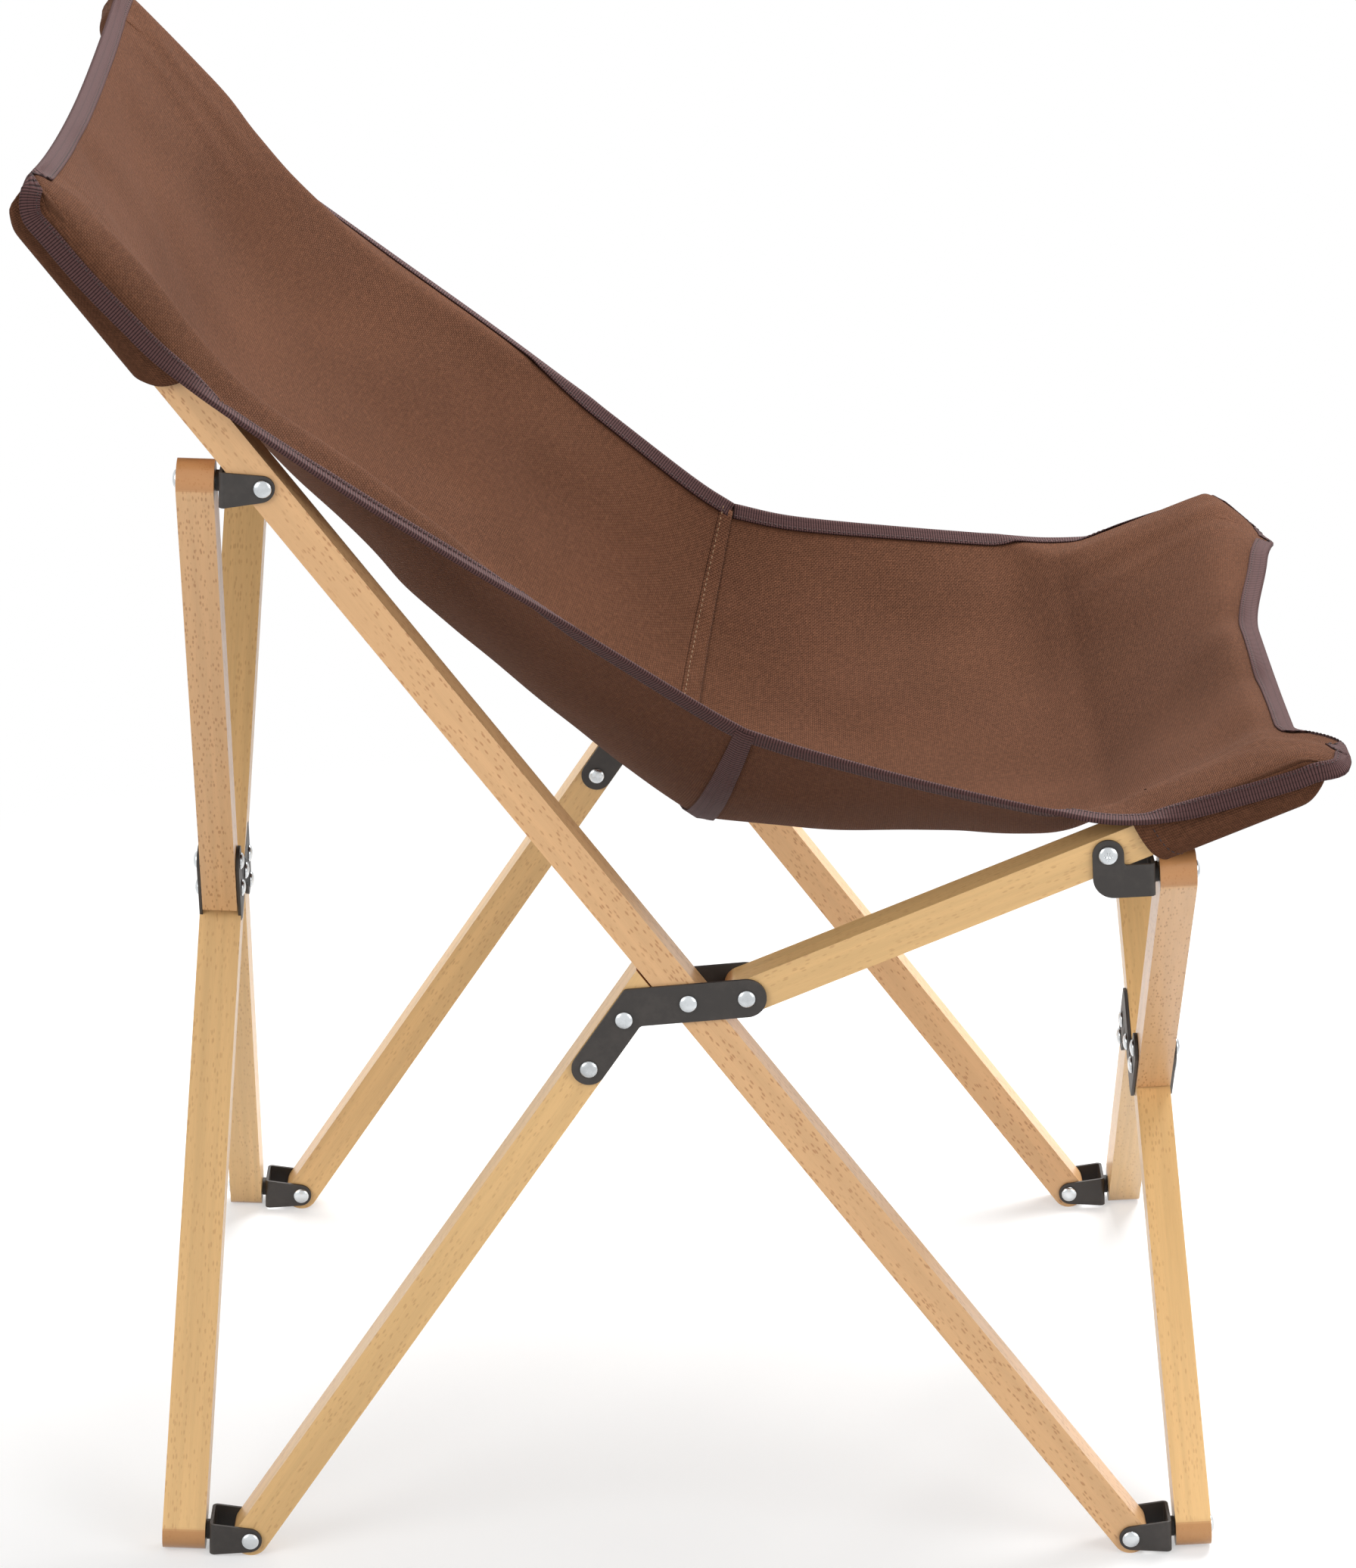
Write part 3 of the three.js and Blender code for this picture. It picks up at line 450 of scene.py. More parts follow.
def beech(name, group, ground, fleck_strength, ring_strength):
    """Lacquered beech: rings, ray flecks and darker end grain on the bar's own grain coordinates."""
    timber = settings("timber")
    material, tree, shader = new_material(name)
    grain = node(tree, "ShaderNodeAttribute", attribute_name="grain")
    end = node(tree, "ShaderNodeAttribute", attribute_name="end_grain")
    figure = use_group(tree, group, grain=grain.outputs["Vector"], fleck_length=0.0055)
    rings = maths(tree, "MULTIPLY", ramp(tree, figure["Rings"], 0.3, 0.7), ring_strength)
    colour = tinted(tree, rings, shaded(ground, 1.1), shaded(ground, 0.8))
    colour = tinted(tree, maths(tree, "MULTIPLY", figure["Flecks"], fleck_strength), colour, timber.ray)
    pores = maths(tree, "MULTIPLY", ramp(tree, figure["Pores"], 0.52, 0.75), 0.16)
    colour = tinted(tree, pores, colour, timber.ray)
    cut = maths(tree, "MULTIPLY", ramp(tree, end.outputs["Fac"], 0.12, 0.34), 0.8)
    colour = tinted(tree, cut, colour, timber.end)
    tree.links.new(colour, shader.inputs["Base Color"])
    tree.links.new(spread(tree, figure["Sheen"], 0.3, 0.48), shader.inputs["Roughness"])
    relief = maths(tree, "SUBTRACT", 0.0, maths(tree, "ADD", figure["Flecks"], figure["Pores"]))
    bumped(tree, shader, relief, 0.0001, 0.15)
    shader.inputs["Coat Weight"].default_value = 0.25
    shader.inputs["Coat Roughness"].default_value = 0.22
    return material


def handled_group():
    """Fine speckle and broad handling marks, on object coordinates."""
    tree, given, sink = new_group("Handled metal", {"Speckle Scale": 900.0}, ("Speckle", "Marks"))
    place = node(tree, "ShaderNodeTexCoord").outputs["Object"]
    give(tree, sink, speckle=clouds(tree, place, given["Speckle Scale"]),
         marks=clouds(tree, place, 70.0, 5.0, 0.65))
    return tree


def black_paint(group):
    steel = settings("steel")
    material, tree, shader = new_material("Black painted steel")
    marks = use_group(tree, group, speckle_scale=1500.0)
    rubbed = maths(tree, "MULTIPLY", ramp(tree, marks["Marks"], 0.42, 0.72), 0.55)
    tree.links.new(tinted(tree, rubbed, steel.black, shaded(steel.black, 1.9)), shader.inputs["Base Color"])
    tree.links.new(spread(tree, marks["Marks"], 0.42, 0.62), shader.inputs["Roughness"])
    bumped(tree, shader, marks["Speckle"], 0.00004, 0.5)
    return material


def zinc_plate(group):
    steel = settings("steel")
    material, tree, shader = new_material("Zinc plating")
    marks = use_group(tree, group, speckle_scale=2600.0)
    dull = ramp(tree, marks["Marks"], 0.4, 0.75)
    tree.links.new(tinted(tree, dull, steel.zinc, shaded(steel.zinc, 0.72)), shader.inputs["Base Color"])
    tree.links.new(spread(tree, marks["Marks"], 0.16, 0.36), shader.inputs["Roughness"])
    bumped(tree, shader, marks["Speckle"], 0.00003, 0.3)
    shader.inputs["Metallic"].default_value = 1.0
    return material


def yarn_steps(tree, pitch_across, pitch_along):
    """The cloth's own UV map, in metres, and the yarns counted across and along it."""
    cloth = node(tree, "ShaderNodeUVMap", uv_map="UVMap").outputs["UV"]
    parts = node(tree, "ShaderNodeSeparateXYZ", {0: cloth}).outputs
    return cloth, maths(tree, "DIVIDE", parts["X"], pitch_across), maths(tree, "DIVIDE", parts["Y"], pitch_along)


def weave_group():
    """Plain weave: yarn height, slubs, fine mottle and a broad fading."""
    tree, given, sink = new_group("Yarn weave", {"Warp Pitch": 0.0009, "Weft Pitch": 0.0011}, (
        "Height", "Slubs", "Mottle", "Fading"))
    cloth, across, along = yarn_steps(tree, given["Warp Pitch"], given["Weft Pitch"])
    steps = maths(tree, "ADD", maths(tree, "FLOOR", across), maths(tree, "FLOOR", along))
    over = maths(tree, "ABSOLUTE", maths(tree, "MODULO", steps, 2.0))
    raised = node(tree, "ShaderNodeMix", {"Factor": over, 2: ridges(tree, across), 3: ridges(tree, along)},
                  data_type="FLOAT")
    slubs = maths(tree, "MAXIMUM", *(clouds(tree, stretched(tree, cloth, scale))
                                     for scale in ((1100, 130, 1), (130, 1100, 1))))
    give(tree, sink, height=raised.outputs[0], slubs=slubs, mottle=clouds(tree, cloth, 330.0, 3.0),
         fading=clouds(tree, cloth, 9.0, 3.0))
    return tree


def canvas(group):
    sling = settings("sling")
    material, tree, shader = new_material("Canvas")
    yarn = use_group(tree, group, warp_pitch=0.00122, weft_pitch=0.0013)
    fading = maths(tree, "MULTIPLY", ramp(tree, yarn["Fading"], 0.3, 0.75), 0.4)
    fading = maths(tree, "ADD", fading, maths(tree, "MULTIPLY", ramp(tree, yarn["Mottle"], 0.3, 0.7), 0.6))
    colour = tinted(tree, fading, shaded(sling.cloth, 0.8), shaded(sling.cloth, 1.28))
    # Darker between the yarns, down to 0.42 of the canvas colour: painted shade in the weave's hollows
    shaded_gaps = maths(tree, "MULTIPLY", ramp(tree, yarn["Height"], 0.75, 0.1), 0.9)
    colour = tinted(tree, shaded_gaps, colour, shaded(sling.cloth, 0.42))
    slubs = maths(tree, "MULTIPLY", ramp(tree, yarn["Slubs"], 0.52, 0.75), 0.5)
    colour = tinted(tree, slubs, colour, shaded(sling.cloth, 1.6))
    tree.links.new(colour, shader.inputs["Base Color"])
    shader.inputs["Roughness"].default_value = 0.92
    shader.inputs["Specular IOR Level"].default_value = 0.08
    shader.inputs["Sheen Weight"].default_value = 0.02
    shader.inputs["Sheen Roughness"].default_value = 0.5
    bumped(tree, shader, yarn["Height"], 0.0004, 0.8)
    return material


def ribs_group():
    """Ribs across a tape, broken into rows along it."""
    tree, given, sink = new_group("Tape ribs", {"Rib Pitch": 0.0018, "Row Pitch": 0.0031}, ("Height", "Fuzz"))
    cloth, across, along = yarn_steps(tree, given["Rib Pitch"], given["Row Pitch"])
    row = maths(tree, "ADD", maths(tree, "MULTIPLY", ramp(tree, ridges(tree, along), 0.0, 0.45), 0.3), 0.7)
    height = maths(tree, "MULTIPLY", ridges(tree, across), row)
    give(tree, sink, height=height, fuzz=clouds(tree, cloth, 1600.0))
    return tree


def ribbed_tape(group):
    sling = settings("sling")
    material, tree, shader = new_material("Ribbed edge tape")
    yarn = use_group(tree, group, rib_pitch=0.0018)
    fuzz = maths(tree, "MULTIPLY", maths(tree, "SUBTRACT", yarn["Fuzz"], 0.5), 0.5)
    # Rib tops lighter and the hollows between ribs darker: painted highlight and painted shade across the ribs,
    # with a random fuzz of tone
    raised = ramp(tree, maths(tree, "ADD", yarn["Height"], fuzz), 0.15, 0.9)
    colour = tinted(tree, raised, shaded(sling.tape, 0.3), shaded(sling.tape, 1.5))
    tree.links.new(colour, shader.inputs["Base Color"])
    shader.inputs["Roughness"].default_value = 0.7
    shader.inputs["Specular IOR Level"].default_value = 0.12
    bumped(tree, shader, yarn["Height"], 0.0004, 0.7)
    return material


def thread(name, colour):
    """Twisted thread, on object coordinates."""
    material, tree, shader = new_material(name)
    twist = clouds(tree, node(tree, "ShaderNodeTexCoord").outputs["Object"], 2200.0, 1.0)
    tree.links.new(tinted(tree, twist, shaded(colour, 0.6), colour), shader.inputs["Base Color"])
    shader.inputs["Roughness"].default_value = 0.7
    bumped(tree, shader, twist, 0.0001, 0.5)
    return material


FINISHES = {}


def finish(name):
    """Each finish is made once, on first use."""
    if not FINISHES:
        timber = settings("timber")
        sling = settings("sling")
        grain, handled, weave = grain_group(), handled_group(), weave_group()
        FINISHES.update({
            "flecked": beech("Flecked beech", grain, timber.flecked, 0.75, 0.4),
            "straight": beech("Straight beech", grain, timber.straight, 0.4, 0.5),
            "black": black_paint(handled),
            "zinc": zinc_plate(handled),
            "canvas": canvas(weave),
            "tape": ribbed_tape(ribs_group()),
            "seam thread": thread("Seam thread", sling.seam_thread),
            "dark thread": thread("Tape thread", sling.dark_thread),
        })
    return FINISHES[name]


# Beech bars

BOTH_ENDS = ("start", "end")
FULL_ROUND = 0.4995  # of the bar's width; a whole half would leave edges of no length
TIP_SEGMENTS = 14
EDGE_SEGMENTS = 4
STOP_GAP = 0.0012
GRAIN_STEPS = (0.73, 0.041, 0.057)


def bar_piece(node_name, place, look, rounded, grain_shift, cut=None):
    """A bar in the place of its CAD node, with x along it. Rounded names its half-round ends."""
    (start, end), (low, high), (back, front) = spans(node_name, place)
    size = Vector((end - start, high - low, front - back))
    centre = Vector((end + start, high + low, front + back)) / 2
    bm = bmesh.new()
    bmesh.ops.create_cube(bm, size=1)
    bmesh.ops.scale(bm, vec=size, verts=bm.verts)
    bmesh.ops.translate(bm, vec=centre, verts=bm.verts)
    tips = [value for value, name in zip((start, end), BOTH_ENDS) if name in rounded]
    tip_edges = [edge for edge in bm.edges
                 if abs(edge.verts[0].co.z - edge.verts[1].co.z) > size.z / 2
                 and any(abs(edge.verts[0].co.x - tip) < size.y / 10 for tip in tips)]
    bevel(bm, tip_edges, size.y * FULL_ROUND, TIP_SEGMENTS)
    if cut:
        point, normal = cut
        bmesh.ops.bisect_plane(bm, geom=bm.verts[:] + bm.edges[:] + bm.faces[:], plane_co=point,
                               plane_no=normal, clear_outer=True)
        bmesh.ops.holes_fill(bm, edges=[edge for edge in bm.edges if edge.is_boundary])
    rims = [edge for edge in bm.edges
            if all(abs(abs(vert.co.z - centre.z) - size.z / 2) < size.z / 1000 for vert in edge.verts)]
    rims += [edge for edge in sharp_edges(bm) if edge not in rims]
    bevel(bm, rims, settings("timber").edge_round, EDGE_SEGMENTS)
    bm.normal_update()
    grain = bm.verts.layers.float_vector.new("grain")
    ends = bm.verts.layers.float.new("end_grain")
    for vert in bm.verts:
        vert[grain] = vert.co + grain_shift
        vert[ends] = abs(vert.normal.x)
    bmesh.ops.transform(bm, matrix=place, verts=bm.verts)
    even_normals(piece(bm, f"{node_name}_wood", finish(look), body_of(node_name), [node_name]))


def grain_of(index):
    """A different stretch of timber for each bar."""
    along, across, through = GRAIN_STEPS
    return Vector((along * index, across * (index % 5), through * (index % 7)))


class SLINGCHAIR_OT_bars(bpy.types.Operator):
    """Makes the beech bars of both side frames and both crossed pairs"""

    bl_idname = "slingchair.bars"
    bl_label = "Beech Bars"

    def execute(self, context):
        count = 0
        for side in SIDES:
            pivot = middle(f"{side}_centre_pivot_rivet")
            rail = middle(f"{side}_rail_pivot_rivet")
            leg = middle(f"{side}_leg_rivet_upper")
            bar_up = middle(f"{side}_rear_top_rivet") - pivot
            long_bar = placed(pivot, bar_up, ACROSS)
            bar_piece(f"{side}_long_bar", long_bar, "flecked", BOTH_ENDS, grain_of(count))
            rail_run = middle(f"{side}_front_top_rivet") - rail
            bar_piece(f"{side}_seat_rail", placed(rail, rail_run, ACROSS), "straight", BOTH_ENDS,
                      grain_of(count + 1))
            leg_place = placed(leg, middle(f"{side}_rear_foot_rivet") - leg, ACROSS)
            bar_piece(f"{side}_rear_leg", leg_place, "straight", ("end",), grain_of(count + 2),
                      self.stop_face(f"{side}_long_bar", long_bar, leg_place))
            count += 3
        for name in OUTWARD:
            pair = crossed_pair(name)
            whole = middle(f"left_{name}_top_bolt") - middle(f"right_{name}_foot_bolt")
            bar_piece(f"{name}_cross_bar", placed(pair.pivot, whole, pair.normal), "straight", BOTH_ENDS,
                      grain_of(count))
            looks = {"upper": ("flecked", pair.upper), "lower": ("straight", pair.lower)}
            for place, (half, (look, run)) in enumerate(looks.items(), start=1):
                bar_piece(f"{name}_cross_half_{half}", placed(pair.pivot, run, pair.normal), look, ("end",),
                          grain_of(count + place))
            count += 3
        return {"FINISHED"}

    @staticmethod
    def stop_face(bar_node, bar_place, leg_place):
        """The plane, in the leg's place, just behind the long bar that the leg's end is cut to."""
        low, high = spans(bar_node, bar_place)[1]
        side = -1 if (bar_place.inverted() @ leg_place.translation).y < 0 else 1
        edge = low - STOP_GAP if side < 0 else high + STOP_GAP
        to_leg = leg_place.inverted()
        point = to_leg @ (bar_place @ Vector((0, edge, 0)))
        normal = to_leg.to_3x3() @ (bar_place.to_3x3() @ Vector((0, -side, 0)))
        return point, normal


# Black steel

def steel_piece(bm, place, name, nodes):
    bevel(bm, sharp_edges(bm), settings("steel").edge_round, 2)
    bmesh.ops.transform(bm, matrix=place, verts=bm.verts)
    even_normals(piece(bm, name, finish("black"), body_of(nodes[0]), nodes))


def crossing(point_a, run_a, point_b, run_b):
    gap = point_b - point_a
    return point_a + run_a * (gap.cross(run_b) / run_a.cross(run_b))


PLATE_ARM_HALF = 0.0124
PLATE_LEG_HALF = 0.0107
ELBOW_ROUND = 0.0015
NEARLY = 0.999  # of a half width, for the same reason as FULL_ROUND


def dogleg_corners(side, to_plane):
    """Corners of a dogleg plate: an arm over the rail and centre pivots, and a leg over the leg's rivets."""
    flat = {name: (to_plane @ middle(f"{side}_{name}")).to_2d()
            for name in ("rail_pivot_rivet", "centre_pivot_rivet", "leg_rivet_upper", "leg_rivet_lower")}
    rail, lower = flat["rail_pivot_rivet"], flat["leg_rivet_lower"]
    arm_in = (flat["centre_pivot_rivet"] - rail).normalized()
    leg_down = (lower - flat["leg_rivet_upper"]).normalized()
    arm_side = Vector((-arm_in.y, arm_in.x))
    leg_side = Vector((-leg_down.y, leg_down.x))
    tip = rail - arm_in * PLATE_ARM_HALF
    end = lower + leg_down * PLATE_LEG_HALF
    elbows = [crossing(tip + sign * arm_side * PLATE_ARM_HALF, arm_in,
                       end + sign * leg_side * PLATE_LEG_HALF, leg_down) for sign in (-1, 1)]
    return [
        (*(tip + arm_side * PLATE_ARM_HALF), PLATE_ARM_HALF * NEARLY),
        (*(tip - arm_side * PLATE_ARM_HALF), PLATE_ARM_HALF * NEARLY),
        (*elbows[0], ELBOW_ROUND),
        (*(end - leg_side * PLATE_LEG_HALF), PLATE_LEG_HALF * NEARLY),
        (*(end + leg_side * PLATE_LEG_HALF), PLATE_LEG_HALF * NEARLY),
        (*elbows[1], ELBOW_ROUND),
    ]


CROSS_PLATE_HALF = 0.01
CROSS_PLATE_WEB = 0.012
CROSS_PLATE_CHAMFER = 0.007
CROSS_RIVETS = (0.009, 0.039)


def cross_plate_corners(top):
    """Corners of a stepped plate, whose two legs lie over the half bars."""
    inner = CROSS_OFFSET - CROSS_PLATE_HALF
    outer = CROSS_OFFSET + CROSS_PLATE_HALF
    half = [
        (-inner, top + CROSS_PLATE_HALF, CROSS_PLATE_HALF * NEARLY),
        (-outer, top + CROSS_PLATE_HALF, CROSS_PLATE_HALF * NEARLY),
        (-outer, CROSS_PLATE_CHAMFER - CROSS_PLATE_WEB, 0),
        (CROSS_PLATE_CHAMFER - outer, -CROSS_PLATE_WEB, 0),
        (inner, -CROSS_PLATE_WEB, ELBOW_ROUND),
    ]
    return half + [(-x, -y, radius) for x, y, radius in half]


def split_place(pair):
    """The half bars' place: y along the upper half, z along the plane's normal."""
    return placed(pair.pivot, pair.upper.cross(pair.normal), pair.normal)


class SLINGCHAIR_OT_plates(bpy.types.Operator):
    """Makes the dogleg plates of the side frames and the stepped plates of the crossed pairs"""

    bl_idname = "slingchair.plates"
    bl_label = "Steel Plates"

    def execute(self, context):
        for side in SIDES:
            plane = placed(middle(f"{side}_centre_pivot_rivet"), FRONT, FRONT.cross(UP))
            corners = dogleg_corners(side, plane.inverted())
            for layer in ("outer", "inner"):
                self.plate(f"{side}_dogleg_plate_{layer}", plane, corners)
        for name in OUTWARD:
            place = split_place(crossed_pair(name))
            half_start = spans(f"{name}_cross_half_upper", place)[1][0]
            corners = cross_plate_corners(half_start + CROSS_RIVETS[-1])
            for layer in ("outer", "inner"):
                self.plate(f"{name}_cross_plate_{layer}", place, corners, f"{name}_cross_plate_inner")
        return {"FINISHED"}

    @staticmethod
    def plate(node_name, place, corners, measured=None):
        """One plate, as thick and as far out as its CAD node; a measured twin gives these for a riveted one."""
        low, high = spans(measured or node_name, place)[2]
        if measured and measured != node_name:
            low, high = -high, -low
        bm = bmesh.new()
        rounded_sheet(bm, corners, high - low)
        bmesh.ops.translate(bm, vec=(0, 0, (low + high) / 2), verts=bm.verts)
        steel_piece(bm, place, f"{node_name}_steel", [node_name])


BEND_RADIUS = 0.0022
BEND_CUTS = 5
BASE_HALF = 0.0105
REAR_TOP_BASE = (-0.013, 0.0088)
TAPER_EAR = 0.0073
HOOK_EAR = 0.0096
HOOK_DROP = 0.0175
HOOK_CORNER = 0.013
NECK_RADIUS = 0.0064
NECK_SEGMENTS = 28


def bracket_frame(side, corner):
    """A bracket's place at its rivet: x out to the crossed pair, y up its plane."""
    name = corner.split("_")[0]
    pair = crossed_pair(name)
    out = pair.normal * OUTWARD[name]
    return placed(middle(f"{side}_{corner}_rivet"), out, out.cross(pair.up))


class SLINGCHAIR_OT_brackets(bpy.types.Operator):
    """Bends the corner brackets from flat blanks and adds their necks"""

    bl_idname = "slingchair.brackets"
    bl_label = "Corner Brackets"

    thickness = 0.002
    neck = 0.0027

    def execute(self, context):
        for side in SIDES:
            for corner in CORNERS:
                self.bracket(side, corner)
        return {"FINISHED"}

    def bracket(self, side, corner):
        node_name = f"{side}_{corner}_bracket"
        place = bracket_frame(side, corner)
        (_, tip), _, (_, outside) = spans(node_name, place)
        base = tip - self.neck - self.thickness / 2
        ear = outside - self.thickness / 2
        flat = ear - BEND_RADIUS
        bend = BEND_RADIUS * math.pi / 2
        rivet_at = flat + bend + base - BEND_RADIUS
        bm = bmesh.new()
        rounded_sheet(bm, self.blank(rivet_at, flat + bend, corner), self.thickness)
        for sign in (-1, 1):
            for step in range(BEND_CUTS + 1):
                bmesh.ops.bisect_plane(bm, geom=bm.verts[:] + bm.edges[:] + bm.faces[:], dist=1e-6,
                                       plane_co=(sign * (flat + bend * step / BEND_CUTS), 0, 0),
                                       plane_no=(1, 0, 0))
        for vert in bm.verts:
            vert.co = self.bent(vert.co, base, ear, flat, bend)
        bmesh.ops.recalc_face_normals(bm, faces=bm.faces)
        turn = Matrix.Rotation(math.pi / 2, 4, "Y")
        drop = -HOOK_DROP if corner == "front_top" else 0
        seat = Matrix.Translation((tip - self.neck / 2, drop, 0))
        bmesh.ops.create_cone(bm, cap_ends=True, segments=NECK_SEGMENTS, radius1=NECK_RADIUS,
                              radius2=NECK_RADIUS, depth=self.neck, matrix=seat @ turn)
        steel_piece(bm, place, f"{node_name}_steel", [node_name])

    @staticmethod
    def blank(rivet_at, base_end, corner):
        """The flat blank's corners, both ears and the base between them."""
        if corner != "front_top":
            end = rivet_at + TAPER_EAR
            ring = TAPER_EAR * NEARLY
            low, high = REAR_TOP_BASE if corner == "rear_top" else (-BASE_HALF, BASE_HALF)
            half = [(base_end, low, 0), (end, -TAPER_EAR, ring), (end, TAPER_EAR, ring), (base_end, high, 0)]
        else:
            end, start = rivet_at + HOOK_EAR, rivet_at - HOOK_EAR
            ring = HOOK_EAR * NEARLY
            half = [(end, -HOOK_DROP - BASE_HALF, HOOK_CORNER), (end, HOOK_EAR, ring), (start, HOOK_EAR, ring),
                    (start, BASE_HALF - HOOK_DROP, ELBOW_ROUND)]
        return half + [(-x, y, radius) for x, y, radius in reversed(half)]

    @staticmethod
    def bent(point, base, ear, flat, bend):
        """Where a point of the flat blank goes once both ears are bent up."""
        sign = 1 if point.x >= 0 else -1
        run = abs(point.x)
        if run <= flat:
            return Vector((base + point.z, point.y, sign * run))
        if run <= flat + bend:
            turn = (run - flat) / BEND_RADIUS
            radius = BEND_RADIUS + point.z
            return Vector((base - BEND_RADIUS + radius * math.cos(turn), point.y,
                           sign * (flat + radius * math.sin(turn))))
        return Vector((base - BEND_RADIUS - (run - flat - bend), point.y, sign * (ear + point.z)))


# Fasteners

HEAD_STEPS = 7
HEAD_RIM = 0.0004
HEAD_SEGMENTS = 32
RECESS_SLOT = 0.0007
RECESS_REACH = 0.0029
RECESS_DEPTH = 0.0014
RECESS_FACES = 0.0016
RECESS_VERTS = 0.0018
NUT_HEIGHT = 0.0035
NUT_RADIUS = 0.005


def dome(radius, seat, sign, height):
    """A head's profile from its rim up to its crown."""
    arc = [(seat, radius), (seat + sign * HEAD_RIM, radius)]
    rise = height - HEAD_RIM
    for step in range(1, HEAD_STEPS + 1):
        turn = step / HEAD_STEPS * math.pi / 2
        arc.append((seat + sign * (HEAD_RIM + rise * math.sin(turn)), radius * math.cos(turn)))
    return [(max(width, 0), level) for level, width in arc]


def zinc_piece(bm, place, name, node_name, nodes):
    bmesh.ops.transform(bm, matrix=place, verts=bm.verts)
    even_normals(piece(bm, name, finish("zinc"), body_of(node_name), nodes))


class SLINGCHAIR_OT_fasteners(bpy.types.Operator):
    """Makes the rivets, the cross-recess screws and the bolts with their nuts"""

    bl_idname = "slingchair.fasteners"
    bl_label = "Rivets, Screws and Bolts"

    def execute(self, context):
        for side in SIDES:
            for name in ("centre_pivot_rivet", "rail_pivot_rivet", "leg_rivet_upper", "leg_rivet_lower"):
                node_name = f"{side}_{name}"
                self.rivet(node_name, placed(middle(node_name), FRONT, ACROSS * SIDES[side]))
            for corner in CORNERS:
                node_name = f"{side}_{corner}_rivet"
                self.rivet(node_name, placed(middle(node_name), FRONT, ACROSS * SIDES[side]),
                           recessed=corner == "front_top")
                self.bolt(side, corner)
        for name, outward in OUTWARD.items():
            pair = crossed_pair(name)
            place = placed(pair.pivot, ACROSS, pair.normal * outward)
            self.rivet(f"{name}_cross_pivot_rivet", place)
            self.set_rivets(name, pair)
        return {"FINISHED"}

    def rivet(self, node_name, place, recessed=False):
        low, high = spans(node_name, place)[2]
        radius = max(spans(node_name, place)[0])
        bm = bmesh.new()
        self.headed_pin(bm, low, high, radius)
        if recessed:
            self.cut_recess(bm, high)
        zinc_piece(bm, place, f"{node_name}_zinc", node_name, [node_name])

    @staticmethod
    def headed_pin(bm, low, high, radius):
        """A pin with a domed head at both ends."""
        steel = settings("steel")
        lower = dome(radius, low + steel.head_height, -1, steel.head_height)
        upper = dome(radius, high - steel.head_height, 1, steel.head_height)
        profile = lower[::-1] + [(steel.shank, low + steel.head_height), (steel.shank, high - steel.head_height)]
        turned(bm, profile + upper, HEAD_SEGMENTS)

    @staticmethod
    def cut_recess(bm, crown):
        """Presses a cross recess into the crown of a head."""
        near = [face for face in bm.faces if face.calc_center_median().z > crown - RECESS_FACES]
        bmesh.ops.subdivide_edges(bm, edges=list({edge for face in near for edge in face.edges}), cuts=2,
                                  use_grid_fill=True)
        for vert in bm.verts:
            narrow, far = sorted((abs(vert.co.x), abs(vert.co.y)))
            if vert.co.z > crown - RECESS_VERTS and narrow < RECESS_SLOT and far < RECESS_REACH:
                vert.co.z -= RECESS_DEPTH * (1 - far / RECESS_REACH * 0.5)

    def bolt(self, side, corner):
        steel = settings("steel")
        node_name = f"{side}_{corner}_bolt"
        name = corner.split("_")[0]
        pair = crossed_pair(name)
        place = placed(middle(node_name), ACROSS, pair.normal * OUTWARD[name])
        low, high = spans(node_name, place)[2]
        like = f"{side}_rear_foot_rivet"
        radius = spans(like, placed(middle(like), FRONT, ACROSS))[0][1]
        bm = bmesh.new()
        crown = dome(radius, high - steel.head_height, 1, steel.head_height)
        shank = [(0, low), (steel.shank, low), (steel.shank, high - steel.head_height)]
        turned(bm, shank + crown, HEAD_SEGMENTS)
        if f"{side}_{corner}" in LONG_BOLTS:
            seat = Matrix.Translation((0, 0, low + NUT_HEIGHT / 2))
            made = bmesh.ops.create_cone(bm, cap_ends=True, segments=6, radius1=NUT_RADIUS, radius2=NUT_RADIUS,
                                         depth=NUT_HEIGHT, matrix=seat)
            edges = {edge for vert in made["verts"] for edge in vert.link_edges}
            bevel(bm, list(edges), steel.edge_round, 2)
        zinc_piece(bm, place, f"{node_name}_zinc", node_name, [node_name])

    def set_rivets(self, name, pair):
        """The four rivets that clamp the half bars between the stepped plates."""
        place = split_place(pair)
        half_start = spans(f"{name}_cross_half_upper", place)[1][0]
        low, high = spans(f"{name}_cross_plate_outer", place)[2]
        radius = max(spans(f"{name}_cross_pivot_rivet", placed(pair.pivot, ACROSS, pair.normal))[0])
        single = bmesh.new()
        self.headed_pin(single, low, high, radius)
        bm = bmesh.new()
        stamp(bm, single, [Matrix.Translation((-sign * CROSS_OFFSET, sign * (half_start + inset), 0))
                           for sign in (1, -1) for inset in CROSS_RIVETS])
        zinc_piece(bm, place, f"{name}_cross_set_rivets_zinc", f"{name}_cross_plate_outer", [])


